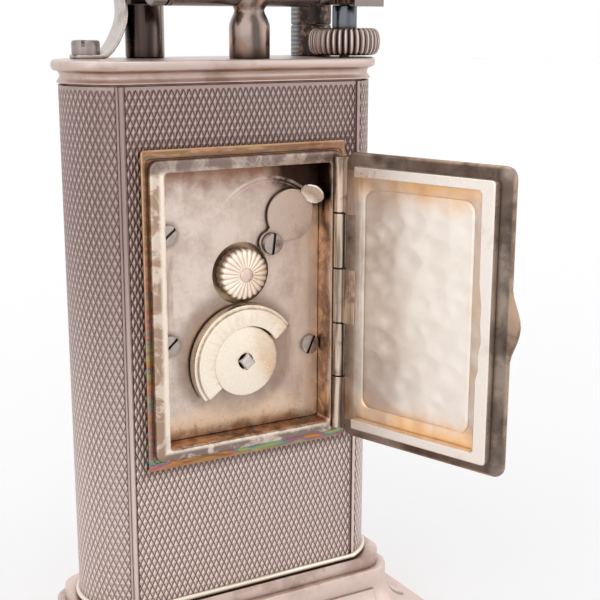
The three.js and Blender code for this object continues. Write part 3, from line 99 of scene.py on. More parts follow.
room = bpy.data.worlds.new("white room")
room.use_nodes = True
scene.world = room
tree = room.node_tree
tree.nodes.clear()
bright = add(tree, "MapRange", {0: seen_or_mirrored(tree), 3: 0.62})
backdrop = add(tree, "Background", {"Color": linear("#ffffff"), "Strength": bright})
add(tree, "OutputWorld", {"Surface": backdrop})

for name, power, size, spot in (
    ("box_left", 0.95, 0.85, (0.42, 0.34, 0.34)),
    ("box_right", 0.42, 0.62, (-0.46, 0.3, 0.2)),
    ("box_top", 0.5, 0.5, (0, -0.1, 0.55)),
):
    lamp = bpy.data.lights.new(name, "AREA")
    lamp.energy = power
    lamp.size = size
    box = bpy.data.objects.new(name, lamp)
    scene.collection.objects.link(box)
    box.matrix_world = aim(Vector(spot), Vector((0, 0, 0.045)))

bm = bmesh.new()
bmesh.ops.create_circle(bm, cap_ends=True, radius=2.5, segments=96)
mesh = bpy.data.meshes.new("floor")
bm.to_mesh(mesh)
bm.free()
floor = bpy.data.objects.new("floor", mesh)
scene.collection.objects.link(floor)
paper = empty_material("white paper sweep")  # matt paper: pale all over, it keeps the soft shadow
tree = paper.node_tree
matt = add(tree, "BsdfDiffuse", {"Color": linear("#e9e9ea"), "Roughness": 1})
away = add(tree, "VectorMath", {0: add(tree, "TexCoord", out="Object")}, out="Value", operation="LENGTH")
faded = add(tree, "MapRange", {0: away, 1: 0.12, 2: 0.9, 3: 0.3, 4: 0.485}, interpolation_type="SMOOTHSTEP")
lift = add(tree, "Math", {0: seen_or_mirrored(tree), 1: faded}, operation="MULTIPLY")
glow = add(tree, "Emission", {"Color": linear("#ffffff"), "Strength": lift})
both = add(tree, "AddShader", {0: matt, 1: glow})
add(tree, "OutputMaterial", {"Surface": both})
mesh.materials.append(paper)


# Foot. A cast and turned-over silver foot: a low plinth, a concave sweep with a sunk panel on each
# side, a flat ledge and a neck. Cast in one piece, dressed, and dulled by years of tarnish.
def stack(bm, rings, ends=(True, True), closed=False):
    """Extrudes a ring of points from level to level. The ends are filled, or meet where closed."""
    verts = [bm.verts.new(point) for point in rings[0]]
    edges = [bm.edges.new(pair) for pair in zip(verts, verts[1:] + verts[:1])]
    first = edges
    for ring in rings[1:] + (rings[:1] if closed else []):
        drawn = bmesh.ops.extrude_edge_only(bm, edges=edges)["geom"]
        fresh = {v for v in drawn if isinstance(v, bmesh.types.BMVert)}
        edges = [e for e in drawn if isinstance(e, bmesh.types.BMEdge)]
        verts = [next(e.other_vert(v) for e in v.link_edges if e.other_vert(v) in fresh) for v in verts]
        for vert, point in zip(verts, ring):
            vert.co = point
    if not closed:
        for fill, loop in zip(ends, (first, edges)):
            if fill:
                bmesh.ops.contextual_create(bm, geom=loop)


def rounded(half_x, half_y, radius, steps=8, cut_x=None, cut_y=None):
    """A rounded rectangle's points. cut_x and cut_y put a point on each long or short side."""
    cut_x = min(cut_x, half_x - radius) if cut_x else None
    cut_y = min(cut_y, half_y - radius) if cut_y else None
    points = []
    for quarter, (sx, sy) in enumerate(((1, 1), (-1, 1), (-1, -1), (1, -1))):
        arc = [
            (
                sx * (half_x - radius) + radius * math.cos((quarter + i / steps) * math.pi / 2),
                sy * (half_y - radius) + radius * math.sin((quarter + i / steps) * math.pi / 2),
            )
            for i in range(steps + 1)
        ]
        side = quarter % 2 == 0
        before = [(sx * half_x, sy * cut_y)] if cut_y else []
        after = [(sx * cut_x, sy * half_y)] if cut_x else []
        points += (before + arc + after) if side else (after + arc + before)
    return points


def piece(name, bm, material, stands_for=(), body="lighter", edge=0, sharp=40):
    """Makes a mesh of millimetres an object in metres on its body. edge rounds its sharp edges."""
    bmesh.ops.remove_doubles(bm, verts=bm.verts, dist=0.002)
    bmesh.ops.recalc_face_normals(bm, faces=bm.faces)
    bmesh.ops.scale(bm, vec=(0.001, 0.001, 0.001), verts=bm.verts)
    mesh = bpy.data.meshes.new(name)
    bm.to_mesh(mesh)
    bm.free()
    mesh.materials.append(material)
    mesh.shade_smooth()
    made = bpy.data.objects.new(name, mesh)
    scene.collection.objects.link(made)
    if edge:
        bevel = made.modifiers.new("edges", "BEVEL")
        bevel.width = edge / 1000
        bevel.segments = 2
        bevel.limit_method = "ANGLE"
        bevel.angle_limit = math.radians(sharp)
        made.modifiers.new("flats", "WEIGHTED_NORMAL")
    else:
        mesh.set_sharp_from_angle(angle=math.radians(sharp))
    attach(made, body)
    if stands_for:
        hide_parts(*stands_for)
    return made


def worn_metal(
    name, clean, warm, deep, patch=6, cover=0.5, rough=0.3, cavity=1.2, grime_and_shade=0.8, grain=0.5,
    stretch=(1, 1, 1),
):
    """Metal with clouds of warm tarnish, dirt and painted shade in corners, and fine wear in its shine.

    patch is the clouds' size in millimetres, cover their share, cavity how far from a corner the dirt
    and painted shade reach, grain the wear's grain size, and stretch draws the grain out along a
    brushing."""
    material = empty_material(name)
    tree = material.node_tree
    spot = add(tree, "TexCoord", out="Object")
    clouds = add(tree, "TexNoise", {"Vector": spot, "Scale": 1000 / patch, "Detail": 6, "Roughness": 0.62})
    clouds = add(tree, "MapRange", {0: clouds, 1: 0.78 - 0.5 * cover, 2: 0.98 - 0.5 * cover})
    tarnished = add(tree, "Mix", {0: clouds, 6: linear(clean), 7: linear(warm)}, out=2, data_type="RGBA")
    drawn = add(tree, "Mapping", {"Vector": spot, "Scale": stretch})
    wear = add(tree, "TexNoise", {"Vector": drawn, "Scale": 1000 / grain, "Detail": 4, "Roughness": 0.7})
    ragged = add(tree, "MapRange", {0: wear, 1: 0.3, 2: 0.7, 3: 0.75, 4: 1.25})
    # Darker where the surface is shut in: dirt there, and painted shade.
    open_sky = add(tree, "AmbientOcclusion", {"Distance": cavity / 1000}, out="AO", samples=6)
    dirt_and_shade = add(tree, "MapRange", {0: open_sky, 1: 0.92, 2: 0.35, 4: grime_and_shade})
    dirt_and_shade = add(tree, "Math", {0: dirt_and_shade, 1: ragged}, operation="MULTIPLY", use_clamp=True)
    soiled_and_shaded = add(tree, "Mix", {0: dirt_and_shade, 6: tarnished, 7: linear(deep)}, out=2, data_type="RGBA")
    shine = add(tree, "MapRange", {0: wear, 1: 0.25, 2: 0.75, 3: rough - 0.07, 4: rough + 0.12})
    relief = add(tree, "Bump", {"Height": wear, "Strength": 0.25, "Distance": 0.00003})
    skin = add(tree, "BsdfPrincipled", {
        "Base Color": soiled_and_shaded, "Metallic": 1, "Roughness": shine, "Normal": relief,
    })
    add(tree, "OutputMaterial", {"Surface": skin})
    skin.node.name, soiled_and_shaded.node.name, relief.node.name = "skin", "soiled_and_shaded", "relief"
    return material


def paint(metal, *layers):
    """Lays colours over a worn metal's own, each as a share and a hex code or a socket."""
    tree = metal.node_tree
    tone = tree.nodes["soiled_and_shaded"].outputs[2]
    for share, colour in layers:
        over = linear(colour) if isinstance(colour, str) else colour
        tone = add(tree, "Mix", {0: share, 6: tone, 7: over}, out=2, data_type="RGBA")
    tree.links.new(tone, tree.nodes["skin"].inputs["Base Color"])


# Cast sterling silver, dressed by hand: a grey bloom of tarnish, darker where the sweep turns in.
foot_silver = worn_metal("cast silver", "#e0cbc2", "#c2aaa0", "#6a5548", patch=9, rough=0.42, cavity=1.1)
tree = foot_silver.node_tree
spot = add(tree, "TexCoord", out="Object")
stains = add(tree, "TexNoise", {"Vector": spot, "Scale": 240, "Detail": 5, "Roughness": 0.6})
brown = add(tree, "MapRange", {0: stains, 1: 0.46, 2: 0.62, 4: 0.35}, interpolation_type="SMOOTHSTEP")
risen = add(tree, "MapRange", {0: add(tree, "SeparateXYZ", {0: spot}, out=2), 1: 0.0072, 2: 0.01})
share = add(tree, "Math", {0: brown, 1: risen}, operation="MULTIPLY")
paint(foot_silver, (share, "#8a6a52"))
spread, ledge, plinth, flare_top, rim_top, foot_top = 27, 20.9, 2.2, 7.6, 9.5, 11.2
ledge_deep, panel_x, panel_y, panel_sunk = 7.9, 17.4, 4.4, 0.3
bm = bmesh.new()
levels = [(spread - 0.3, 0), (spread, 0.3), (spread, plinth - 0.2)]
for i in range(15):
    angle = (1 - i / 14) * math.pi / 2
    sweep, rise = spread - 0.25 - ledge, flare_top - plinth - 0.05
    levels.append((ledge + sweep * (1 - math.cos(angle)), flare_top - rise * math.sin(angle)))
levels += [(ledge, rim_top - 0.25), (ledge - 0.08, rim_top - 0.08), (ledge - 0.25, rim_top)]
levels += [(ledge - 0.8, rim_top), (ledge - 0.8, foot_top)]
rings = []
for half, z in levels:
    radius = 3.4 + 2.2 * max(0, half - ledge) / (spread - ledge)
    rings.append([
        (x, y, z) for x, y in rounded(half, half - ledge + ledge_deep, radius, 8, panel_x, panel_y)
    ])
stack(bm, rings)
bm.normal_update()
for k, limit in ((0, panel_x), (1, panel_y)):
    for side in (-1, 1):
        sunk = []
        for f in bm.faces:
            middle = f.calc_center_median()
            on_sweep = plinth + 0.4 < middle.z < flare_top - 0.3 and f.normal[1 - k] * side > 0.2
            if on_sweep and abs(middle[k]) < 0.01 and all(abs(v.co[k]) < limit + 0.01 for v in f.verts):
                sunk.append(f)
        bmesh.ops.inset_region(bm, faces=sunk, thickness=0.06, depth=-panel_sunk, use_even_offset=True)
piece("foot", bm, foot_silver, ["base"], sharp=35)


# Half-round bead that the body stands on, and the plate under the foot: rolled and stamped silver,
# soldered on, the plate dull and scratched from tables.
face, bow, bow_x = 6.5, 7.06, 12.24  # the flats' y, and the radius of the bowed ends and its centre's x


def plan(offset, steps=18):
    """The body's outline in plan, moved out by offset: two flats and two bowed ends."""
    radius = bow + offset
    reach = math.asin(min(1, (face + offset) / radius))
    turns = [-reach + 2 * reach * i / steps for i in range(steps + 1)]
    right = [(bow_x + radius * math.cos(t), radius * math.sin(t)) for t in turns]
    return right + [(-x, -y) for x, y in right]


def coat(name, material):
    """Gives its material to a solid that stays as the frame has it."""
    nodes[name].data.materials.clear()
    nodes[name].data.materials.append(material)


bm = bmesh.new()
stack(bm, [
    [(x, y, 11.6 + 0.4 * math.sin(a)) for x, y in plan(0.45 * math.cos(a))]
    for a in (math.pi * (i / 10 - 0.5) for i in range(11))
])
# Rolled silver: cream along its crown, with brown dirt and painted brown shade low down where it
# meets the foot.
bead_silver = worn_metal(
    "rolled silver bead", "#f6eadb", "#e0ccb6", "#4a2f20", cover=0.35, rough=0.28, cavity=0.9, grime_and_shade=0.95,
)
tree = bead_silver.node_tree
level = add(tree, "SeparateXYZ", {0: add(tree, "TexCoord", out="Object")}, out=2)
# Painted brown shade on the bead's lower half, where it turns under.
painted_underside_shade = add(tree, "MapRange", {0: level, 1: 0.01178, 2: 0.01158, 4: 0.6})
paint(bead_silver, (painted_underside_shade, "#7d5f4a"))
piece("bead", bm, bead_silver, ["body_bottom"], sharp=50)
# Stamped silver: dull and grey, its scratches all run one way.
plate_silver = worn_metal(
    "stamped silver plate", "#8f8480", "#6f6260", "#3c3233", patch=12, cover=0.6, rough=0.45, grain=0.4,
    stretch=(1, 8, 1),
)
coat("base_plate", plate_silver)


# Body shell. Drawn from sheet silver and soldered at one edge, with two ribs on each flat, and
# engine-turned all over: crossed slanting cuts leave rows of small tall diamonds, called barleycorn.
body_low, body_high = 12, 72.4
bezel = dict(half=(12.4, 17.4), opening=(10.65, 16), flange=(13.05, 18.5), middle=47.1)  # round the clock
barley = (0.7, 1.5)  # a diamond's width and height


def gap(value, middle):
    """How far a value is from a middle one."""
    off = add(value.id_data, "Math", {0: value, 1: middle}, operation="SUBTRACT")
    return add(value.id_data, "Math", {0: off}, operation="ABSOLUTE")


def outside(spot, half_x, half_z):
    """How far a place is outside a rectangle round the clock's middle, given in millimetres, in x and z."""
    tree = spot.id_data
    x = gap(add(tree, "SeparateXYZ", {0: spot}), 0)
    z = gap(add(tree, "SeparateXYZ", {0: spot}, out=2), bezel["middle"] / 1000)
    return [
        add(tree, "Math", {0: off, 1: half / 1000}, operation="SUBTRACT")
        for off, half in ((x, half_x), (z, half_z))
    ]


def ribbed_plan():
    """The body's outline with the ribs at its flats' edges and the fine groove on each side of them."""
    steps = [(15.6, -0.02), (15.45, -0.2), (15.25, -0.2), (15.22, 0.12), (15.14, 0.2)]
    steps += [(14.86, 0.2), (14.78, 0.12), (14.75, -0.15), (14.55, -0.15), (14.53, 0)]
    end = [p for p in plan(0, 24)[:25] if p[0] > 15.7]
    top = []
    for x, out in steps:
        y = min(face, math.sqrt(bow ** 2 - (x - bow_x) ** 2)) if x > 15 else face
        top.append((x, y + out))
    half = [(x, -y) for x, y in reversed(top)] + end + top
    return half + [(-x, -y) for x, y in half]


def emboss(metal, height, strength, deep):
    """Adds a relief, deep metres from its lowest to its highest, to a worn metal's own."""
    tree = metal.node_tree
    relief = tree.nodes["relief"].outputs[0]
    raised = add(tree, "Bump", {"Height": height, "Strength": strength, "Distance": deep, "Normal": relief})
    tree.links.new(raised, tree.nodes["skin"].inputs["Normal"])


bm = bmesh.new()
stack(bm, [[(x, y, z) for x, y in ribbed_plan()] for z in (body_low, body_high)], ends=(False, False))
window = (11.7, 29.2, 65)  # half its width, its bottom and its top
for axis, at in ((0, window[0]), (0, -window[0]), (2, window[1]), (2, window[2])):
    normal = Vector((axis == 0, 0, axis == 2))
    whole = bm.verts[:] + bm.edges[:] + bm.faces[:]
    bmesh.ops.bisect_plane(bm, geom=whole, plane_co=normal * at, plane_no=normal)
middles = [(f, f.calc_center_median()) for f in bm.faces]
hole = [f for f, m in middles if abs(m.x) < window[0] and window[1] < m.z < window[2]]
bmesh.ops.delete(bm, geom=hole, context="FACES")
bmesh.ops.recalc_face_normals(bm, faces=bm.faces)
if next(f for f in bm.faces if f.calc_center_median().y > 6).normal.y < 0:
    bmesh.ops.reverse_faces(bm, faces=bm.faces)
bmesh.ops.solidify(bm, geom=bm.faces, thickness=0.5)
uv = bm.loops.layers.uv.new("lathe")  # in centimetres round the body and up it
for f in bm.faces:
    out = abs(f.calc_center_median().x)
    for loop in f.loops:
        x, y, z = loop.vert.co
        across = bow * math.atan2(y, abs(x) - bow_x) if out > 15.5 else x
        if 14.6 <= out <= 15.5:
            across = 99  # the ribs are plain
        loop[uv].uv = (across / 10, z / 10)

# Sterling silver, engine-turned: each cut's two walls catch the light apart, so the diamonds sparkle
# pale and pinkish on a web of dark cuts; the dark cuts are painted shade and the pale tips painted
# highlights. Painted shade makes it greyer and browner towards the top, so it is lightest low down.
turned_silver = worn_metal(
    "engine-turned silver", "#e2cec6", "#c0a9a2", "#5a4a46", patch=24, cover=0.45, rough=0.38, cavity=1,
)
tree = turned_silver.node_tree
unrolled = add(tree, "UVMap", uv_map="lathe")
round_body = add(tree, "SeparateXYZ", {0: unrolled})
up_body = add(tree, "SeparateXYZ", {0: unrolled}, out=1)
across = add(tree, "Math", {0: round_body, 1: 10 / barley[0]}, operation="MULTIPLY")
up = add(tree, "Math", {0: up_body, 1: 10 / barley[1]}, operation="MULTIPLY")
walls = []
for way in ("ADD", "SUBTRACT"):
    slant = add(tree, "Math", {0: across, 1: up}, operation=way)
    walls.append(add(tree, "Math", {0: slant, 1: 0.5}, operation="PINGPONG"))
roof = add(tree, "Math", {0: walls[0], 1: walls[1]}, operation="MINIMUM")
below_edge = add(tree, "Math", {0: up_body, 1: (body_high - 0.35) / 10}, operation="LESS_THAN")
off_ribs = add(tree, "Math", {0: round_body, 1: 9}, operation="LESS_THAN")
where = add(tree, "Math", {0: below_edge, 1: off_ribs}, operation="MULTIPLY")
spot = add(tree, "TexCoord", out="Object")
out_x, out_z = outside(spot, *bezel["flange"])
beside = add(tree, "Math", {0: out_x, 1: out_z}, operation="MAXIMUM")
# Painted shade in the cuts and painted highlights on the diamonds' tips.
cuts = add(tree, "MapRange", {0: roof, 1: 0.03, 2: 0.18, 3: 1, 4: 0}, interpolation_type="SMOOTHSTEP")
painted_shade_in_cuts = add(tree, "Math", {0: cuts, 1: where}, operation="MULTIPLY")
off_middle = add(tree, "Math", {0: add(tree, "SeparateXYZ", {0: spot})}, operation="ABSOLUTE")
fainter = add(tree, "MapRange", {0: off_middle, 1: 0.015, 2: 0.0165, 3: 0.9, 4: 0.7})
painted_shade_in_cuts = add(tree, "Math", {0: painted_shade_in_cuts, 1: fainter}, operation="MULTIPLY")
level = add(tree, "SeparateXYZ", {0: spot}, out=2)
# Painted shade: greyer and browner towards the top.
painted_shade_up_high = add(tree, "MapRange", {0: level, 1: 0.02, 2: 0.062, 4: 0.85}, interpolation_type="SMOOTHSTEP")
brown_rim = add(tree, "MapRange", {0: beside, 1: 0.0016, 2: 0, 4: 0.65}, interpolation_type="SMOOTHSTEP")
high_walls = add(tree, "MapRange", {0: roof, 1: 0.24, 2: 0.42, 4: 0.45}, interpolation_type="SMOOTHSTEP")
painted_highlight_tips = add(tree, "Math", {0: high_walls, 1: where}, operation="MULTIPLY")
paint(turned_silver, (painted_shade_up_high, "#9d8680"), (brown_rim, "#6e5646"), (painted_shade_in_cuts, "#5c4a4a"), (painted_highlight_tips, "#e6d3ca"))
emboss(turned_silver, add(tree, "Math", {0: roof, 1: where}, operation="MULTIPLY"), 1, 0.00042)
piece("body", bm, turned_silver, ["body_shell"], sharp=30)


# Top cap. A turned-over plate with a rounded rim over a cove, pressed into the body's mouth; the
# cove has kept its brown tarnish because no cloth reaches it, and is painted with shade under the rim.
deck = 75.1  # the cap's top, on which the lighter work stands
# Pressed silver, brushed along the cap: pinkish grey on top with a painted highlight on the rim's
# crown, and brown tarnish with painted shade in the cove.
cap_silver = worn_metal(
    "pressed silver", "#cdb8b0", "#a88f84", "#7d6250", cover=0.55, rough=0.36, cavity=0.7, grime_and_shade=0.7,
    grain=0.4, stretch=(0.15, 1, 1),
)
tree = cap_silver.node_tree
height = add(tree, "SeparateXYZ", {0: add(tree, "TexCoord", out="Object")}, out=2)
cloudy = add(tree, "TexNoise", {"Vector": add(tree, "TexCoord", out="Object"), "Scale": 260, "Detail": 4})
blotches = add(
    tree, "MapRange", {0: cloudy, 1: 0.38, 2: 0.6, 3: 0.15, 4: 0.75}, interpolation_type="SMOOTHSTEP",
)
seam_line = add(tree, "MapRange", {0: gap(height, 0.07395), 1: 0.00032, 2: 0.00008})
seam = add(tree, "Math", {0: seam_line, 1: blotches}, operation="MULTIPLY")
# Painted shade over the cove's brown tarnish under the rim, and a painted highlight on the crown.
shaded = add(tree, "MapRange", {0: height, 1: 0.07405, 2: 0.0734, 4: 0.12}, interpolation_type="SMOOTHSTEP")
painted_highlight_on_crown = add(tree, "MapRange", {0: height, 1: 0.0746, 2: 0.075, 4: 0.4})
paint(cap_silver, (shaded, "#94745c"), (seam, "#a9825f"), (painted_highlight_on_crown, "#ddd2ca"))
bm = bmesh.new()
levels = [(-0.9, 71.2), (-0.9, 72.55), (0.05, 72.6), (0.15, 72.68), (0.15, 72.8)]
levels += [(0.15 - 0.35 * math.sin(math.pi * i / 10), 72.8 + 1.2 * i / 10) for i in range(1, 10)]
for i in range(13):
    angle = math.pi * (i / 12 - 0.5)
    levels.append((0.375 + 0.375 * math.cos(angle), 74.55 + 0.55 * math.sin(angle)))
levels.append((-0.4, deck))
stack(bm, [[(x, y, z) for x, y in plan(offset)] for offset, z in levels])
piece("cap", bm, cap_silver, ["top_cap"])


# Clock case. A silver box soldered through the body: a thin flange lies on the body round it, and a
# rounded bezel stands out of the flange, with two knuckles for the door's pin.
def upright(half, grow, radius, y):
    """A rounded rectangle that stands across Y round the clock's middle, grown by so many millimetres."""
    return [(x, y, bezel["middle"] + z) for x, z in rounded(half[0] + grow, half[1] + grow, radius)]


def bezel_edge(y, way):
    """The bezel's rounded edge from its face to its side. way is 1 at the back and -1 at the dial side."""
    turns = [(math.sin(a), math.cos(a)) for a in (0, 0.4, 0.8, 1.2, 1.57)]
    return [upright(bezel["half"], 0.35 * (s - 1), 0.8 + 0.3 * s, y + way * 0.35 * c) for s, c in turns]


# Silver, polished on the bezel's top by the door and by fingers: cream white with grey smears.
bezel_silver = worn_metal(
    "polished silver", "#f8e9d9", "#b39f93", "#3a2a25", patch=5, cover=0.34, rough=0.28, cavity=0.7,
    grime_and_shade=0.85, grain=0.6,
)
tree = bezel_silver.node_tree
spot = add(tree, "TexCoord", out="Object")
drawn = add(tree, "Mapping", {"Vector": spot, "Scale": (1, 1, 0.25)})
scratches = add(tree, "TexNoise", {"Vector": drawn, "Scale": 900, "Detail": 4, "Roughness": 0.6})
ragged = add(tree, "MapRange", {0: scratches, 1: 0.3, 2: 0.7, 3: -0.0005, 4: 0.0005})
out_x, out_z = outside(spot, *bezel["half"])
wall_x = add(tree, "Math", {0: out_x, 1: 0.00175}, operation="ADD")
wall_z = add(tree, "Math", {0: out_z, 1: 0.0014}, operation="ADD")
depth = add(tree, "Math", {0: add(tree, "SeparateXYZ", {0: spot}, out=1), 1: ragged}, operation="ADD")
in_mouth = add(tree, "MapRange", {0: depth, 1: 0.008, 2: 0.0068, 4: 0.92}, interpolation_type="SMOOTHSTEP")
nearest = add(tree, "Math", {0: wall_x, 1: wall_z}, operation="MAXIMUM")
at_wall = add(tree, "MapRange", {0: nearest, 1: 0.00035, 2: 0.00015})
in_mouth = add(tree, "Math", {0: in_mouth, 1: at_wall}, operation="MULTIPLY")
smears = add(tree, "TexNoise", {
    "Vector": spot, "Scale": 420, "Detail": 5, "Roughness": 0.65, "Distortion": 0.6,
})
inward = add(tree, "Math", {0: out_x, 1: out_z}, operation="MAXIMUM")
outer_half = add(
    tree, "MapRange", {0: inward, 1: -0.0013, 2: -0.0008, 4: 0.9}, interpolation_type="SMOOTHSTEP",
)
smeared = add(tree, "MapRange", {0: smears, 1: 0.42, 2: 0.55, 3: 0.38}, interpolation_type="SMOOTHSTEP")
outer_half = add(tree, "Math", {0: outer_half, 1: smeared}, operation="MULTIPLY")
sideways = add(tree, "Math", {0: out_x, 1: out_z}, operation="SUBTRACT")
on_side = add(tree, "MapRange", {0: sideways, 1: -0.0008, 2: 0.0008})
leg = add(tree, "Mix", {0: on_side, 6: linear("#77625a"), 7: linear("#a4846c")}, out=2, data_type="RGBA")
high_up = add(tree, "MapRange", {
    0: add(tree, "SeparateXYZ", {0: spot}, out=2), 1: 0.0629, 2: 0.0633, 4: 0.9,
})
wiped = add(tree, "MapRange", {0: smears, 1: 0.35, 2: 0.55, 3: 0.5})
top_leg = add(tree, "Math", {0: high_up, 1: wiped}, operation="MULTIPLY")
stained = add(tree, "MapRange", {0: smears, 1: 0.36, 2: 0.6}, interpolation_type="SMOOTHSTEP")
low_wall = add(
    tree, "Mix", {0: stained, 6: linear("#bd8c66"), 7: linear("#5c3f2c")}, out=2, data_type="RGBA",
)
side_wall = add(
    tree, "Mix", {0: stained, 6: linear("#cfa27a"), 7: linear("#83604a")}, out=2, data_type="RGBA",
)
# Painted shadow, almost black, on the mouth's walls in the upper corner by the hinge.
from_dark_corner = add(
    tree, "VectorMath", {0: spot, 1: (-0.0107, 0.005, 0.0631)}, out="Value", operation="DISTANCE",
)
dark_corner_edge = add(tree, "Math", {0: from_dark_corner, 1: ragged}, operation="ADD")
corner_shadow = add(
    tree, "MapRange", {0: dark_corner_edge, 1: 0.0072, 2: 0.0042, 4: 0.95}, interpolation_type="SMOOTHSTEP",
)
on_side_wall = add(tree, "Math", {0: wall_x, 1: wall_z}, operation="GREATER_THAN")
mouth_stain = add(tree, "Mix", {0: on_side_wall, 6: low_wall, 7: side_wall}, out=2, data_type="RGBA")
edge_shade = add(tree, "MapRange", {
    0: add(tree, "SeparateXYZ", {0: spot}), 1: -0.01072, 2: -0.01086, 4: 0.85,
})
corner_shadow_in_mouth = add(tree, "Math", {0: corner_shadow, 1: in_mouth}, operation="MULTIPLY")
paint(
    bezel_silver, (outer_half, leg), (top_leg, "#85736c"), (edge_shade, "#6d5a4e"), (in_mouth, mouth_stain),
    (corner_shadow_in_mouth, "#241410"),
)
brim, mouth, flange = bezel["half"], bezel["opening"], bezel["flange"]
bm = bmesh.new()
rings = [upright(mouth, 0, 0.4, y) for y in (-6.2, 4, 7.5)]
rings += [upright(mouth, 0.08, 0.45, 7.66), upright(mouth, 0.22, 0.5, 7.7)] + bezel_edge(7.35, 1)
rings += [upright(brim, 0, 1.1, 6.55), upright(mouth, 0.7, 1.1, face), upright(mouth, 0.7, 1.1, -6.2)]
stack(bm, rings, closed=True)
piece("clock_bezel", bm, bezel_silver, ["clock_case"], sharp=35)


# The flange: thin silver whose tarnish has gone through straw, magenta and blue to green, as heat or
# sulphur colours do where the film's thickness grows. Brightest along its lower edge.
rainbow = worn_metal(
    "flange silver with film colours", "#c99e7a", "#a97f62", "#2a1a15", patch=2.4, cavity=0.6, grime_and_shade=0.9,
)
tree = rainbow.node_tree
spot = add(tree, "TexCoord", out="Object")
x = add(tree, "SeparateXYZ", {0: spot})
z = add(tree, "SeparateXYZ", {0: spot}, out=2)
streak = add(tree, "Mapping", {"Vector": spot, "Scale": (0.4, 1, 2.8)})
film = add(tree, "TexNoise", {
    "Vector": streak, "Scale": 520, "Detail": 3, "Roughness": 0.5, "Distortion": 0.5,
})
hues = add(tree, "ValToRGB", {0: film})
stops = (
    (0.3, "#8a6a50"), (0.4, "#c98a3c"), (0.47, "#b0507e"), (0.53, "#4f8f9a"), (0.6, "#8fae62"),
    (0.7, "#d09a4a"),
)
while len(hues.node.color_ramp.elements) < len(stops):
    hues.node.color_ramp.elements.new(0.5)
for element, (place, colour) in zip(hues.node.color_ramp.elements, stops):
    element.position, element.color = place, linear(colour)
low_strip = add(tree, "MapRange", {0: z, 1: 0.0299, 2: 0.0297, 3: 0.12, 4: 0.9})
not_lowest = add(tree, "MapRange", {0: z, 1: 0.0288, 2: 0.0291, 3: 0.25})
lower = add(tree, "Math", {0: low_strip, 1: not_lowest}, operation="MULTIPLY")
outer_side = add(tree, "MapRange", {0: x, 1: 0.0122, 2: 0.0125, 4: 0.5})
lower_half = add(tree, "MapRange", {0: z, 1: 0.054, 2: 0.044})
left_leg = add(tree, "Math", {0: outer_side, 1: lower_half}, operation="MULTIPLY")
patches = add(tree, "TexNoise", {"Vector": streak, "Scale": 800, "Detail": 4, "Roughness": 0.6})
darker = add(
    tree, "MapRange", {0: patches, 1: 0.38, 2: 0.56, 3: 0.15, 4: 0.65}, interpolation_type="SMOOTHSTEP",
)
out_x, out_z = outside(spot, *bezel["flange"])
beside = add(tree, "Math", {0: out_x, 1: out_z}, operation="MAXIMUM")
inside_rim = add(tree, "MapRange", {0: beside, 1: -0.00012, 2: -0.00024})
darker = add(tree, "Math", {0: darker, 1: inside_rim}, operation="MULTIPLY")
coloured = add(tree, "Math", {0: lower, 1: left_leg}, operation="MAXIMUM")
paint(rainbow, (darker, "#6b4836"), (coloured, hues))
bm = bmesh.new()
stack(bm, [upright(*row) for row in (
    (brim, -0.2, 0.6, face), (brim, -0.2, 0.6, 6.74), (brim, 0.1, 0.6, 6.72), (brim, 0.18, 0.6, 6.8),
    (flange, -0.12, 0.4, 6.8), (flange, 0, 0.4, 6.7), (flange, 0, 0.4, face),
)], closed=True)
piece("clock_flange", bm, rainbow, sharp=30)


# Hinge. Five drawn knuckles, two on the case and three on the door, on one steel pin that is filed
# flush at both ends.
hinge = (-11.6, 8.1)  # the pin's x and y


def knuckle(index):
    """The lower and upper end of a hinge knuckle, counted from the top."""
    pitch, slack = 6.72, 0.06
    top = bezel["middle"] + (2.5 - index) * pitch
    return top - pitch + slack, top - slack


def turn(bm, profile, at, axis="Z", steps=48):
    """Spins a profile of (radius, place along the axis) round an axis through a point."""
    along = Vector((axis == "X", axis == "Y", axis == "Z"))
    out = Vector((0, 1, 0)) if axis == "X" else Vector((1, 0, 0))
    verts = [bm.verts.new(Vector(at) + out * radius + along * place) for radius, place in profile]
    edges = [bm.edges.new(pair) for pair in zip(verts, verts[1:])]
    bmesh.ops.spin(bm, geom=verts + edges, cent=at, axis=along, angle=math.tau, steps=steps, use_merge=True)


def barrel_wall(bm, at, low, high):
    """A knuckle with softened ends round the pin's hole."""
    hole, radius, soft = 0.34, 0.72, 0.12
    half = [(hole, 0), (radius - soft, 0), (radius - soft / 3, soft / 3), (radius, soft)]
    profile = [(r, low + z) for r, z in half] + [(r, high - z) for r, z in reversed(half)]
    turn(bm, profile + profile[:1], (at[0], at[1], 0), steps=32)


# Drawn silver tube: brown streaks along the drawing, black dirt and painted shade at the ends.
knuckle_silver = worn_metal(
    "drawn silver tube", "#dcc6b2", "#7a6252", "#20140f", patch=3, rough=0.33, cavity=0.8, grime_and_shade=0.9,
    grain=0.4, stretch=(1, 1, 0.1),
)
tree = knuckle_silver.node_tree
drawn = add(tree, "Mapping", {"Vector": add(tree, "TexCoord", out="Object"), "Scale": (1, 1, 0.06)})
draw_lines = add(tree, "TexNoise", {"Vector": drawn, "Scale": 1500, "Detail": 3})
stripes = add(tree, "MapRange", {0: draw_lines, 1: 0.42, 2: 0.62, 4: 0.7}, interpolation_type="SMOOTHSTEP")
paint(knuckle_silver, (stripes, "#3a2b26"))
bm = bmesh.new()
for index in (1, 3):
    low, high = knuckle(index)
    barrel_wall(bm, hinge, low, high)
    lug = ((-11.95, 6.6), (-11.25, 6.6), (-11.15, 7.75), (-12.1, 7.75))
    stack(bm, [[(x, y, z) for x, y in lug] for z in (low, high)])
piece("case_knuckles", bm, knuckle_silver, edge=0.05)
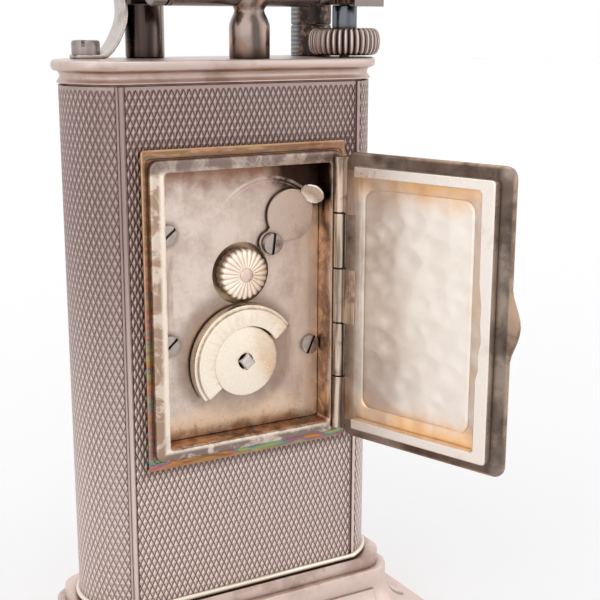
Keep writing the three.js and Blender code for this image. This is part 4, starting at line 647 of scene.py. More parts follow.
# Drawn steel wire: a dark grey dot at each end of the hinge.
wire = worn_metal("drawn steel wire", "#8d8a88", "#6b5f58", "#2c2523", patch=2, cover=0.4, rough=0.35)
coat("hinge_pin", wire)


# Door. Stamped silver plate with a thumb lug at its free edge, a frame strip soldered inside that
# fits the case's mouth, and a shallow panel line; planished inside, so it is covered in soft dimples.
door = dict(
    start=1, wide=23.8, half=17.4, lug=1.15, lug_half=4.05, inner=-0.2, outer=0.6, open=math.radians(108.7),
)


def door_ring(left, right, half, radius, y, bulge=0):
    """A closed-door outline at one depth, in x from the hinge; bulge swells its free edge at the lug."""
    centre, reach = (left + right) / 2, door["lug_half"]
    points = rounded((right - left) / 2, half, radius, 6)
    for i in range(1, 40):
        z = (half - radius) * (i / 20 - 1)
        swell = (0.5 + 0.5 * math.cos(math.pi * z / reach)) ** 0.8 if abs(z) < reach else 0
        points.append((right - centre + bulge * swell, z))
    return [(centre + x, y, bezel["middle"] + z) for x, z in points]


def swing(bm):
    """Turns what was drawn on the closed door to where the door stands open."""
    bmesh.ops.rotate(bm, cent=(0, 0, 0), matrix=Matrix.Rotation(door["open"], 3, "Z"), verts=bm.verts)
    bmesh.ops.translate(bm, vec=(hinge[0], hinge[1], 0), verts=bm.verts)


def box(bm, near, far):
    """A box between two opposite corners."""
    (x, y, low), (right, back, high) = near, far
    stack(bm, [[(x, y, z), (right, y, z), (right, back, z), (x, back, z)] for z in (low, high)])


# Silver inside: cream where it was wiped, orange-brown in the corners, planished in 2.9 mm dimples.
door_silver = worn_metal(
    "planished silver", "#fcf2e8", "#f0dfd0", "#9a7254", patch=9, cover=0.45, rough=0.36, cavity=0.8,
    grime_and_shade=0.6, grain=0.7,
)
tree = door_silver.node_tree
spot = add(tree, "TexCoord", out="Object")
level = add(tree, "SeparateXYZ", {0: spot}, out=2)
outward = Vector((math.cos(door["open"]), math.sin(door["open"]), 0))
along_door = add(tree, "VectorMath", {0: spot, 1: outward}, out="Value", operation="DOT_PRODUCT")
from_hinge = add(tree, "Math", {0: along_door, 1: outward.dot((*hinge, 0)) / 1000}, operation="SUBTRACT")
from_middle = gap(level, bezel["middle"] / 1000)
blots = add(tree, "TexNoise", {"Vector": spot, "Scale": 190, "Detail": 6, "Roughness": 0.65})
shift = add(tree, "MapRange", {0: blots, 1: 0.25, 2: 0.75, 3: -0.0017, 4: 0.0017})
layers = []
for place, begin, full, colour, most, wavy in (
    (from_middle, 0.0108, 0.0148, "#ffc684", 0.9, True), (from_hinge, 0.0185, 0.0215, "#f0cba0", 0.6, True),
    (from_hinge, 0.0046, 0.0016, "#97826f", 0.75, True),
    (from_hinge, 0.0214, 0.0216, "#4c403c", 0.95, False),
    (from_middle, 0.0153, 0.0154, "#5e504b", 0.95, False),
    (from_hinge, 0.02355, 0.0238, "#bd9f84", 0.8, False),
    (from_middle, 0.017, 0.0173, "#bd9f84", 0.8, False),
):
    edge = add(tree, "Math", {0: place, 1: shift}, operation="ADD") if wavy else place
    share = add(tree, "MapRange", {0: edge, 1: begin, 2: full, 4: most}, interpolation_type="SMOOTHSTEP")
    layers.append((share, colour))
smoky = add(tree, "TexNoise", {"Vector": spot, "Scale": 210, "Detail": 4, "Roughness": 0.55})
smoke = add(tree, "MapRange", {0: smoky, 1: 0.42, 2: 0.62, 3: 0.1, 4: 0.6}, interpolation_type="SMOOTHSTEP")
for begin, full, back, gone, colour in (
    (0.0035, 0.0055, 0.008, 0.0105, "#e4d7cd"), (0.0219, 0.0226, 0.0236, 0.024, "#b3a294"),
):
    rise = add(tree, "MapRange", {0: from_hinge, 1: begin, 2: full})
    fall = add(tree, "MapRange", {0: from_hinge, 1: back, 2: gone, 3: 1, 4: 0})
    share = add(tree, "Math", {0: rise, 1: fall}, operation="MULTIPLY")
    layers.append((add(tree, "Math", {0: share, 1: smoke}, operation="MULTIPLY"), colour))
by_edge = add(tree, "Math", {0: from_middle, 1: 0.01535}, operation="GREATER_THAN")
by_free_edge = add(tree, "Math", {0: from_hinge, 1: 0.0215}, operation="GREATER_THAN")
at_margin = add(tree, "Math", {0: by_edge, 1: by_free_edge}, operation="MAXIMUM")
blotted = add(tree, "MapRange", {0: blots, 1: 0.44, 2: 0.6, 4: 0.6}, interpolation_type="SMOOTHSTEP")
layers.append((add(tree, "Math", {0: blotted, 1: at_margin}, operation="MULTIPLY"), "#352b28"))
drawn = add(tree, "Mapping", {"Vector": spot, "Scale": (1, 1, 0.05)})
strokes = add(tree, "TexNoise", {"Vector": drawn, "Scale": 2400, "Detail": 4})
brushed = add(tree, "MapRange", {0: strokes, 1: 0.42, 2: 0.6, 4: 0.4})
near_hinge = add(tree, "MapRange", {0: from_hinge, 1: 0.0044, 2: 0.0036})
layers.append((add(tree, "Math", {0: brushed, 1: near_hinge}, operation="MULTIPLY"), "#8b7869"))
grainy = add(tree, "TexNoise", {"Vector": spot, "Scale": 1800, "Detail": 5, "Roughness": 0.7})
grit = add(tree, "MapRange", {0: grainy, 1: 0.3, 2: 0.62, 3: 0.5})
for low, high, colour in ((0.0505, 0.0571, "#33271f"), (0.0371, 0.0437, "#6a574b")):
    at_hinge = add(tree, "MapRange", {0: from_hinge, 1: 0.0026, 2: 0.0016, 3: 0.25})
    share = add(tree, "Math", {0: grit, 1: at_hinge}, operation="MULTIPLY")
    on_edge = add(tree, "Math", {0: from_hinge, 1: 0.0026}, operation="LESS_THAN")
    share = add(tree, "Math", {0: share, 1: on_edge}, operation="MULTIPLY")
    over_low = add(tree, "Math", {0: level, 1: low}, operation="GREATER_THAN")
    under_high = add(tree, "Math", {0: level, 1: high}, operation="LESS_THAN")
    share = add(tree, "Math", {0: share, 1: over_low}, operation="MULTIPLY")
    share = add(tree, "Math", {0: share, 1: under_high}, operation="MULTIPLY")
    layers.append((share, colour))
squeezed = add(tree, "Mapping", {"Vector": spot, "Scale": (1, 1, 1.25)})
dimple = add(
    tree, "TexVoronoi", {"Vector": squeezed, "Scale": 1000 / 2.9, "Randomness": 0.9, "Smoothness": 0.35},
    out="Distance", feature="SMOOTH_F1",
)
hollow = add(tree, "MapRange", {0: dimple, 1: 0.12, 2: 0.5, 4: 0.4})
off_hinge = add(tree, "MapRange", {0: from_hinge, 1: 0.0105, 2: 0.0075, 3: 0.15})
layers.append((add(tree, "Math", {0: hollow, 1: off_hinge}, operation="MULTIPLY"), "#c4b3a6"))
paint(door_silver, *layers)
emboss(door_silver, dimple, 0.5, 0.0003)
inner, outer, right, half = door["inner"], door["outer"], door["wide"], door["half"]
bm = bmesh.new()
rings = [
    door_ring(door["start"] + inset, right - inset, half - inset, 1.3 - inset, y, door["lug"])
    for inset, y in (
        (0.2, outer), (0.06, outer - 0.07), (0, outer - 0.22), (0, inner + 0.2), (0.06, inner + 0.06),
        (0.2, inner),
    )
]
for inset, deep in ((0, 0), (0.05, 0.03), (0.12, 0.1), (0.22, 0.1), (0.34, 0.03), (0.44, 0.02)):
    rings.append(door_ring(3.75 + inset, 19.15 - inset, 13.4 - inset, 1.3, inner + deep))  # the panel line
stack(bm, rings)
uv = bm.loops.layers.uv.new("lathe")
back = [f for f in bm.faces if len(f.verts) > 20 and f.calc_center_median().y > outer - 0.01]
bmesh.ops.inset_region(bm, faces=back, thickness=0.9, depth=0, use_even_offset=True)
for f in back:
    f.material_index = 1
    for loop in f.loops:
        loop[uv].uv = (loop.vert.co.x / 10, loop.vert.co.z / 10)
swing(bm)
made = piece("door_plate", bm, door_silver, ["door"], body="rear_door", sharp=50)
made.data.materials.append(turned_silver)  # the outside is engine-turned, within a plain border
bm = bmesh.new()
for index in (0, 2, 4):
    low, high = knuckle(index)
    barrel_wall(bm, (0, 0), low, high)
    box(bm, (0.45, inner, low), (1.35, outer, high))
low, high = knuckle(2)
box(bm, (0.9, inner - 0.1, low), (2.6, inner + 0.1, high))  # the middle knuckle's leaf
swing(bm)
piece("door_knuckles", bm, knuckle_silver, body="rear_door", edge=0.05)


# The frame strip: half-hard silver, bright cream on its worn top, its free leg filed to a slant.
rim_silver = worn_metal(
    "filed silver strip", "#f7ede3", "#dccdc0", "#7a5c43", cover=0.35, cavity=0.9, grime_and_shade=0.7,
)
bm = bmesh.new()
end, rim_half, rim_low = 22.15, 15.93, -1.4  # the strip's free end, half its height, and its depth
outline = [(3.1, -14.7), (end - 1.95, -14.7), (end - 1.7, -14.4), (end - 1.7, -6.2), (end - 1.4, -5)]
outline += [(end - 1.5, -3.4), (end - 1.15, -1.8), (end - 1.35, 0.2), (end - 1.25, 2), (end - 1.6, 4.6)]
outline += [(end - 1.7, 14.4), (end - 1.95, 14.7), (3.1, 14.7)]
corner = [(3.1, rim_half), (end - 0.5, rim_half), (end - 0.1, rim_half - 0.12), (end, rim_half - 0.5)]
outline += corner + [(x, -z) for x, z in reversed(corner)]
stack(bm, [[(x, y, bezel["middle"] + z) for x, z in outline] for y in (inner + 0.05, rim_low)])
swing(bm)
piece("door_frame_strip", bm, rim_silver, body="rear_door", edge=0.16)


# Cover plate of the movement. Flat silver plate with holes for the knob, the key and the regulator,
# held by three screws: pale where it is wiped, brown along its lower and right edges, with painted
# shade round the key and a painted brown shadow along its top that turns almost black in the upper
# corner by the hinge.
def cut_out(bm, outlines, near, far):
    """Fills the first outline of (x, z) round the others, as holes, and draws it from near to far."""
    edges = []
    for outline in outlines:
        verts = [bm.verts.new((x, near, z)) for x, z in outline]
        edges += [bm.edges.new(pair) for pair in zip(verts, verts[1:] + verts[:1])]
    filled = bmesh.ops.triangle_fill(bm, use_beauty=True, edges=edges)["geom"]
    faces = [f for f in filled if isinstance(f, bmesh.types.BMFace)]
    drawn = bmesh.ops.extrude_face_region(bm, geom=faces)["geom"]
    bmesh.ops.translate(
        bm, vec=(0, far - near, 0), verts=[v for v in drawn if isinstance(v, bmesh.types.BMVert)],
    )
    return [f for f in drawn if isinstance(f, bmesh.types.BMFace)]


def ring(radius, x, z, steps=48, start=0, sweep=math.tau):
    """Points on a circle or an arc that stands across Y."""
    count = steps if abs(sweep - math.tau) < 1e-6 else steps + 1
    return [(
        x + radius * math.cos(start + sweep * i / steps), z + radius * math.sin(start + sweep * i / steps),
    ) for i in range(count)]


cover_face, cover_back = 4.7, 4.2
knob_at, key_at = (0, 50.4), (0, 39.9)
# Stoned silver: pinkish cream under upright stone marks, its stains ragged at their edges.
cover_silver = worn_metal(
    "stoned silver plate", "#e6d5ca", "#c9b1a2", "#6f5240", patch=11, rough=0.34, cavity=1.6, grime_and_shade=0.5,
    stretch=(1, 1, 0.35),
)
tree = cover_silver.node_tree
spot = add(tree, "TexCoord", out="Object")
x = add(tree, "SeparateXYZ", {0: spot})
z = add(tree, "SeparateXYZ", {0: spot}, out=2)
stain = add(tree, "TexNoise", {"Vector": spot, "Scale": 420, "Detail": 7, "Roughness": 0.6})
wobble = add(tree, "MapRange", {0: stain, 1: 0.2, 2: 0.8, 3: -0.0017, 4: 0.0017})
drawn = add(tree, "Mapping", {"Vector": spot, "Scale": (1, 1, 0.16)})
stone_marks = add(tree, "TexNoise", {"Vector": drawn, "Scale": 700, "Detail": 6, "Roughness": 0.65})
streaked = add(tree, "MapRange", {0: stone_marks, 1: 0.25, 2: 0.75, 3: -0.0024, 4: 0.0024})
clouds = add(tree, "TexNoise", {"Vector": spot, "Scale": 190, "Detail": 8, "Roughness": 0.72})
pale_grey = add(tree, "MapRange", {0: clouds, 1: 0.36, 2: 0.66, 4: 0.65}, interpolation_type="SMOOTHSTEP")
layers = [(pale_grey, "#b9a496")]
# Painted shade round the key's half-moon, and darker rings round the three screw heads.
for middle, near, far in (
    ((0.0008, 0.0047, 0.0406), 0.0071, 0.0087), ((-0.0094, 0.0047, 0.0405), 0.0012, 0.002),
    ((0.00935, 0.0047, 0.0557), 0.0012, 0.002), ((0.00935, 0.0047, 0.0428), 0.0012, 0.002),
):
    from_there = add(tree, "VectorMath", {0: spot, 1: middle}, out="Value", operation="DISTANCE")
    share = add(tree, "MapRange", {0: from_there, 1: far, 2: near, 4: 0.55}, interpolation_type="SMOOTHSTEP")
    layers.append((share, "#806757"))
# Painted shadow under the bezel's top wall: the brown band along the top and the almost black corner by the
# hinge.
from_shadowed_corner = add(
    tree, "VectorMath", {0: spot, 1: (-0.0098, 0.0047, 0.063)}, out="Value", operation="DISTANCE",
)
for place, shift, start, full, colour, most in (
    (z, wobble, 0.036, 0.032, "#eecba9", 0.8), (z, wobble, 0.0328, 0.0306, "#93684e", 0.88),
    (x, streaked, -0.0064, -0.0096, "#f0dfd0", 0.7), (x, streaked, -0.0096, -0.011, "#dcc3ac", 0.55),
    (z, wobble, 0.059, 0.0634, "#8d6450", 0.95), (x, streaked, 0.0092, 0.0106, "#a58a78", 0.6),
    (from_shadowed_corner, wobble, 0.0066, 0.004, "#2c1712", 0.95),
):
    shifted = add(tree, "Math", {0: place, 1: shift}, operation="ADD")
    share = add(tree, "MapRange", {0: shifted, 1: start, 2: full, 4: most}, interpolation_type="SMOOTHSTEP")
    layers.append((share, colour))
flat_spot = add(tree, "CombineXYZ", {0: x, 2: z})
swept = add(tree, "VectorMath", {0: flat_spot, 1: (-0.0038, 0, 0.0537)}, out="Value", operation="DISTANCE")
upper_part = add(tree, "MapRange", {0: z, 1: 0.058, 2: 0.0596})
broken_up = add(tree, "MapRange", {0: stain, 1: 0.35, 2: 0.6})
broken = add(tree, "Math", {0: upper_part, 1: broken_up}, operation="MULTIPLY")
for radius, width, most in ((0.00775, 0.00022, 0.75), (0.0073, 0.0001, 0.45)):
    stroke = add(tree, "MapRange", {0: gap(swept, radius), 1: width, 2: width * 0.3, 4: most})
    layers.append((add(tree, "Math", {0: stroke, 1: broken}, operation="MULTIPLY"), "#f0e6de"))
fine_grain = add(tree, "TexNoise", {"Vector": spot, "Scale": 1500, "Detail": 7, "Roughness": 0.75})
specks = add(tree, "MapRange", {0: fine_grain, 1: 0.55, 2: 0.68, 4: 0.45})
lower_down = add(tree, "MapRange", {0: z, 1: 0.04, 2: 0.033, 3: 0.35})
layers.append((add(tree, "Math", {0: specks, 1: lower_down}, operation="MULTIPLY"), "#5e4536"))
paint(cover_silver, *layers)
bm = bmesh.new()
cut_out(bm, [
    [(x, bezel["middle"] + z) for x, z in rounded(mouth[0] - 0.06, mouth[1] - 0.06, 0.4)],
    ring(3.7, *knob_at, 64), ring(1.35, *key_at, 24), ring(2.3, -6.5, 56.9, 40),
], cover_back, cover_face)
piece("cover_plate", bm, cover_silver, ["movement_cover"], edge=0.06)


# Cover screws. Turned steel cheese-head screws with one slot, their blueing worn to grey, dirt and
# painted shade in the slots and round the heads.
def slotted_head(radius, low, high, soft, slot, deep, turned_by):
    """A screw head on Z at the origin, with its slot sunk across the top and turned by degrees."""
    bm = bmesh.new()
    edge = [(radius, high - soft), (radius - soft * 0.3, high - soft * 0.3), (radius - soft, high)]
    turn(bm, [(0, low), (radius, low)] + edge + [(0, high)], (0, 0, 0), steps=40)
    bmesh.ops.remove_doubles(bm, verts=bm.verts, dist=0.001)
    bmesh.ops.recalc_face_normals(bm, faces=bm.faces)
    for side in (-slot / 2, slot / 2):
        whole = bm.verts[:] + bm.edges[:] + bm.faces[:]
        bmesh.ops.bisect_plane(bm, geom=whole, plane_co=(0, side, 0), plane_no=(0, 1, 0))
    top = [f for f in bm.faces if f.calc_center_median().z > high - deep and f.normal.z > 0.2]
    sunk = [f for f in top if abs(f.calc_center_median().y) < slot / 2]
    drawn = bmesh.ops.extrude_face_region(bm, geom=sunk)["geom"]
    bmesh.ops.translate(
        bm, vec=(0, 0, -deep), verts=[v for v in drawn if isinstance(v, bmesh.types.BMVert)],
    )
    bmesh.ops.delete(bm, geom=sunk, context="FACES_ONLY")
    bmesh.ops.rotate(
        bm, cent=(0, 0, 0), matrix=Matrix.Rotation(math.radians(turned_by), 3, "Z"), verts=bm.verts,
    )
    return bm


def face_back(bm, at):
    """Turns what was drawn on Z to face the back, along Y, and puts it at a place."""
    bmesh.ops.rotate(bm, cent=(0, 0, 0), matrix=Matrix.Rotation(math.radians(-90), 3, "X"), verts=bm.verts)
    bmesh.ops.translate(bm, vec=at, verts=bm.verts)


# Turned steel: grey with brown spots, and near black in the slot.
screw_steel = worn_metal(
    "turned steel", "#b5a9a3", "#7c6a60", "#1c1615", patch=0.9, cavity=0.5, grime_and_shade=0.95, grain=0.25,
)
for name, x, z, turned_by in (
    ("right", -9.4, 40.5, 65), ("upper", 9.35, 55.7, 39), ("left", 9.35, 42.8, 41),
):
    bm = slotted_head(1.2, 0, 0.5, 0.16, 0.32, 0.28, turned_by)
    face_back(bm, (x, cover_face, z))
    piece("cover_screw_head_" + name, bm, screw_steel, ["cover_screw_" + name], sharp=35)


# Set knob. Turned nickel silver with a domed face cut into 24 petals round a small flat boss, thinly
# gilt: the petals shine cream and straw, and the cuts between them are deep and warm.
# Gilt nickel silver: cream and straw gleams over warm cuts.
gilt = worn_metal(
    "gilt nickel silver", "#fff3e4", "#f8e0c8", "#d8b48e", patch=1.5, cover=0.45, rough=0.4, cavity=0.25,
    grime_and_shade=0.5, grain=0.2,
)
petals, knob_radius = 24, 3.05
bm = bmesh.new()
rings = []
for share, y in (
    (1, 4.4), (1, 5.5), (0.995, 5.66), (0.965, 5.82), (0.91, 5.95), (0.82, 6.07), (0.7, 6.17), (0.56, 6.24),
    (0.42, 6.28), (0.32, 6.3), (0.27, 6.3),
):
    rings.append([])
    for i in range(petals * 8):
        sunk = (1 - abs(math.cos(math.pi * i / 8)) ** 0.5) * min(1, (share - 0.24) / 0.16)
        angle, radius = math.tau * i / (petals * 8), knob_radius * share * (1 - 0.085 * sunk)
        low = y - (0.12 * sunk if y > 5.6 else 0)
        rings[-1].append((radius * math.cos(angle), low, radius * math.sin(angle) + knob_at[1]))
stack(bm, rings)
piece("set_knob_face", bm, gilt, ["set_knob"], body="minute_arbor", sharp=60)
# Rubbed nickel silver: a pale pinkish dot with a brown rim.
boss_silver = worn_metal(
    "rubbed nickel silver boss", "#e9d3c6", "#d2b8a8", "#6a4c38", patch=0.8, cavity=0.3, grime_and_shade=0.7,
    grain=0.2,
)
bm = bmesh.new()
turn(
    bm, [(0, 6.2), (0.84, 6.2), (0.84, 6.36), (0.76, 6.43), (0.4, 6.485), (0, 6.5)], (0, 0, knob_at[1]),
    "Y", 32,
)
piece("set_knob_boss", bm, boss_silver, body="minute_arbor", sharp=60)


# Winding key. A square steel arbor, a nickel-silver disc on it and a half-moon grip with a stepped
# edge, pinned to the disc at both ends so that it folds up to be turned.
# Nickel silver: smooth and bright cream, brown only in its corners.
nickel = worn_metal("nickel silver", "#fcefdc", "#e6d6c0", "#5a4632", rough=0.27, cavity=0.4, grain=0.15)
bm = bmesh.new()
turn(bm, [
    (0.95, 5), (4.1, 5), (4.25, 5.1), (4.25, 5.78), (4.21, 5.86), (4.12, 5.9), (0.98, 5.9), (0.95, 5.86),
    (0.95, 5),
], (0, 0, key_at[1]), "Y", 72)
piece("key_disc", bm, nickel, ["winding_disc"], body="winding_key", sharp=35)

bm = bmesh.new()
square = [(1.02 * math.cos(a), 1.02 * math.sin(a)) for a in (math.pi / 2 * i + 0.14 for i in range(4))]
stack(bm, [
    [(x * grow, y, key_at[1] + z * grow) for x, z in square]
    for grow, y in ((1, 4.2), (1, 6.42), (0.8, 6.6))
])
# Filed steel: hard pale gleams between black edges.
key_steel = worn_metal(
    "filed steel", "#d8cfcb", "#8f8583", "#1e1715", patch=1.2, rough=0.25, cavity=0.5, grime_and_shade=0.9, grain=0.2,
)
turn(bm, [(0, -2.6), (1.1, -2.6), (1.1, 4.4), (0, 4.4)], (0, 0, key_at[1]), "Y", 32)
piece("key_square", bm, key_steel, ["winding_arbor"], body="winding_key", edge=0.05)

moon_from, moon_sweep, moon_in, moon_out = math.radians(33), math.radians(184), 4.4, 6.9
bm = bmesh.new()
for outer, low, high in ((moon_out, 5, 6.3), (moon_out - 0.45, 6, 6.7)):
    arcs = [ring(radius, *key_at, 56, moon_from, moon_sweep) for radius in (outer, moon_in)]
    cut_out(bm, [[(-x, z) for x, z in arcs[0] + arcs[1][::-1]]], low, high)
piece("key_half_moon", bm, nickel, ["winding_crescent"], body="key_grip", edge=0.09)
for name in ("crescent_pin_1", "crescent_pin_2"):
    coat(name, key_steel)


# Regulator cover. A pear-shaped nickel-silver leaf that swings on one screw, with its tip turned up
# as a round finger tab; rubbed bright, with a brown line where it meets the plate.
leaf_at, pivot_at, tab_at = (-6.5, 56.9), (-3.8, 53.7), (-9, 59.4)
away = math.atan2(pivot_at[1] - leaf_at[1], pivot_at[0] - leaf_at[0])
outline = ring(3.1, *leaf_at, 44, away + 0.42, math.tau - 0.84)
outline += ring(1.5, *pivot_at, 20, away + math.pi + 1, math.tau - 2)
# Rubbed nickel silver: a soft warm grey, brown where it meets the plate.
leaf_metal = worn_metal(
    "rubbed nickel silver", "#d2c0b4", "#b5a194", "#5c4333", patch=3, cavity=0.7, grime_and_shade=0.9, grain=0.35,
)
bm = bmesh.new()
cut_out(bm, [outline], 5, 5.35)
piece("regulator_leaf", bm, leaf_metal, ["regulator_cover"], body="regulator_shutter", edge=0.12)

bm = bmesh.new()
turn(bm, [
    (0, -0.14), (1.3, -0.14), (1.45, -0.04), (1.45, 0.08), (1.36, 0.16), (1.22, 0.12), (0.5, 0.05),
    (0, 0.04),
], (0, 0, 0), steps=48)
leaning = Vector((0, 0, 1)).rotation_difference(Vector((0.664, 0.511, -0.543))).to_matrix()
bmesh.ops.rotate(bm, cent=(0, 0, 0), matrix=leaning, verts=bm.verts)
bmesh.ops.translate(bm, vec=(tab_at[0] + 0.15, 6.3, tab_at[1]), verts=bm.verts)
# Burnished nickel silver: bright like a spoon.
tab_metal = worn_metal(
    "burnished nickel silver", "#f1e6da", "#d8c8b4", "#6b4d38", patch=2, cover=0.4, rough=0.22, cavity=0.4,
    grain=0.25,
)
piece("regulator_tab", bm, tab_metal, body="regulator_shutter", sharp=45)

bm = slotted_head(1.28, 0, 0.6, 0.2, 0.34, 0.32, 83)
face_back(bm, (pivot_at[0], 5.45, pivot_at[1]))
piece("regulator_screw_head", bm, screw_steel, ["regulator_screw"], sharp=35)


# Dial side. The same drawn bezel as at the back, a thick bevelled crystal, a white enamelled dial
# with black numerals, and two blued steel hands.
bm = bmesh.new()
rings = [upright(mouth, 0, 0.4, -face), upright(mouth, 0, 0.4, -7.9), upright(mouth, 0.22, 0.5, -8.1)]
rings += bezel_edge(-7.75, -1) + [upright(brim, 0, 1.1, -6.8), upright(brim, 0, 1.1, -face)]
stack(bm, rings, closed=True)
piece("front_bezel_ring", bm, bezel_silver, ["front_bezel"], sharp=35)
bm = bmesh.new()
stack(bm, [upright(*row) for row in (
    (brim, -0.3, 0.6, -face), (brim, -0.3, 0.6, -6.8), (flange, -0.12, 0.4, -6.8), (flange, 0, 0.4, -6.7),
    (flange, 0, 0.4, -face),
)], closed=True)
piece("front_flange", bm, rainbow, sharp=30)

crystal = empty_material("mineral glass")  # clear plate glass, its ground edge bright
tree = crystal.node_tree
smear = add(tree, "TexNoise", {"Vector": add(tree, "TexCoord", out="Object"), "Scale": 160, "Detail": 3})
haze = add(tree, "MapRange", {0: smear, 1: 0.4, 2: 0.8, 3: 0.02, 4: 0.09})
glass = add(tree, "BsdfPrincipled", {
    "Base Color": linear("#fffdfb"), "Roughness": haze, "IOR": 1.5, "Transmission Weight": 1,
})
add(tree, "OutputMaterial", {"Surface": glass})
bm = bmesh.new()
stack(bm, [upright(mouth, -inset, 0.35, y) for inset, y in ((0.1, -6.9), (0.1, -7.45), (0.6, -7.7))])
piece("crystal_plate", bm, crystal, ["crystal"], sharp=20)

enamel = empty_material("white dial enamel")  # fired white enamel: a warm white with faint ripples
tree = enamel.node_tree
ripple = add(tree, "TexNoise", {"Vector": add(tree, "TexCoord", out="Object"), "Scale": 260, "Detail": 4})
wavy = add(tree, "Bump", {"Height": ripple, "Strength": 0.15, "Distance": 0.00004})
whites = add(tree, "Mix", {0: ripple, 6: linear("#f8f1e6"), 7: linear("#ece2d2")}, out=2, data_type="RGBA")
fired = add(
    tree, "BsdfPrincipled", {"Base Color": whites, "Roughness": 0.18, "Normal": wavy, "Coat Weight": 0.5},
)
add(tree, "OutputMaterial", {"Surface": fired})
coat("dial", enamel)

ink = empty_material("black dial paint")  # printed black enamel paint, faintly raised and grainy
tree = ink.node_tree
ink_specks = add(tree, "TexNoise", {
    "Vector": add(tree, "TexCoord", out="Object"), "Scale": 3000, "Detail": 3,
})
blacks = add(
    tree, "Mix", {0: ink_specks, 6: linear("#15130f"), 7: linear("#2b2723")}, out=2, data_type="RGBA",
)
printed = add(tree, "BsdfPrincipled", {"Base Color": blacks, "Roughness": 0.42})
add(tree, "OutputMaterial", {"Surface": printed})
bm = bmesh.new()
for hour in range(1, 13):
    letters = bpy.data.curves.new("numeral", "FONT")
    letters.body, letters.size, letters.extrude = str(hour), 2.1, 0.02
    letters.align_x = letters.align_y = "CENTER"
    writer = bpy.data.objects.new("numeral", letters)
    scene.collection.objects.link(writer)
    bpy.context.view_layer.update()
    numeral = bpy.data.meshes.new_from_object(writer.evaluated_get(bpy.context.evaluated_depsgraph_get()))
    bpy.data.objects.remove(writer)
    angle = math.pi / 2 - math.tau * hour / 12
    place = (7.7 * math.cos(angle), -5.215, knob_at[1] + 7.7 * math.sin(angle))
    numeral.transform(Matrix.Translation(place) @ Matrix.Rotation(math.pi / 2, 4, "X"))
    bm.from_mesh(numeral)
for minute in range(60):
    length, half = (0.55, 0.11) if minute % 5 == 0 else (0.38, 0.05)
    turned = Matrix.Translation((0, 0, knob_at[1])) @ Matrix.Rotation(-math.tau * minute / 60, 4, "Y")
    corners = ((9.15, -half), (9.15 + length, -half), (9.15 + length, half), (9.15, half))
    stack(bm, [[turned @ Vector((x, y, z)) for x, z in corners] for y in (-5.2, -5.23)])
piece("dial_print", bm, ink, sharp=30)

# Blued steel: a deep violet blue that mirrors the room.
blued = worn_metal(
    "blued steel", "#27356b", "#3c2f5e", "#10131f", patch=4, cover=0.4, rough=0.2, cavity=0.3, grime_and_shade=0.3,
    grain=0.2,
)
for name, stands_for, body, length, hub, near in (
    ("hour_hand_blade", "hour_hand", "hour_pipe", 6.6, 1.3, -5.6),
    ("minute_hand_blade", "minute_hand", "minute_arbor", 9.2, 1, -6.2),
):
    side = [(0.28, -2), (0.22, 0), (0.55, length * 0.6), (0.3, length * 0.85)]
    blade = side + [(0, length)] + [(-x, z) for x, z in reversed(side)]
    bm = bmesh.new()
    cut_out(bm, [[(x, knob_at[1] + z) for x, z in blade]], near, near - 0.2)
    turn(
        bm, [(0, near), (hub, near), (hub, near - 0.15), (hub - 0.1, near - 0.2), (0, near - 0.2)],
        (0, 0, knob_at[1]), "Y", 36,
    )
    piece(name, bm, blued, [stands_for], body=body, edge=0.03)


# Arm post, pin and lifting arm. Turned and filed silver, blackened and never polished: the arm's two
# ears swing on a steel pin through the post's eye, and its bar reaches over to the snuffer cap.
# Oxidised silver: glossy dark streaks that run down, copper brown between them, painted shade on one side.
blackened = worn_metal(
    "oxidised silver", "#a5948b", "#bb8763", "#1a1211", patch=2.6, cover=0.55, rough=0.22, cavity=1.4,
    grime_and_shade=0.85, grain=0.7, stretch=(1, 1, 0.12),
)
tree = blackened.node_tree
spot = add(tree, "TexCoord", out="Object")
drawn = add(tree, "Mapping", {"Vector": spot, "Scale": (1, 1, 0.08)})
runs = add(tree, "TexNoise", {"Vector": drawn, "Scale": 620, "Detail": 2})
streaks = add(tree, "MapRange", {0: runs, 1: 0.46, 2: 0.64, 4: 0.65}, interpolation_type="SMOOTHSTEP")
# Painted shade on the post's side towards +x.
painted_shade_side = add(
    tree, "MapRange", {0: add(tree, "SeparateXYZ", {0: spot}), 1: 0.0058, 2: 0.008, 4: 0.88},
    interpolation_type="SMOOTHSTEP",
)
paint(blackened, (streaks, "#2c2220"), (painted_shade_side, "#2a1f1d"))
arm_x, arm_z, wick_at = 7.7, 84.7, (-14.85, -4.4, 0)  # the arm's pin, and the wick under its far end
bm = bmesh.new()
turn(bm, [
    (0, 72.7), (1.1, 72.7), (1.1, deck), (2.1, deck), (2.25, 75.25), (2.25, 80.9), (2.1, 81.15),
    (1.7, 81.3), (0, 81.3),
], (arm_x, -4, 0), steps=48)
turn(
    bm,
    [(0.85, -4.95), (2.1, -4.95), (2.2, -4.85), (2.2, -3.15), (2.1, -3.05), (0.85, -3.05), (0.85, -4.95)],
    (arm_x, 0, arm_z), "Y", 48,
)
box(bm, (5.75, -4.95, 81.1), (9.65, -3.05, 83.4))
piece("arm_post_turned", bm, blackened, ["arm_post"], sharp=35)

bm = slotted_head(0.8, -4.95, 0.15, 0.1, 0.3, 0.2, 30)
face_back(bm, (arm_x, -1.6, arm_z))
piece("arm_pin_turned", bm, screw_steel, ["arm_pin"], sharp=35)

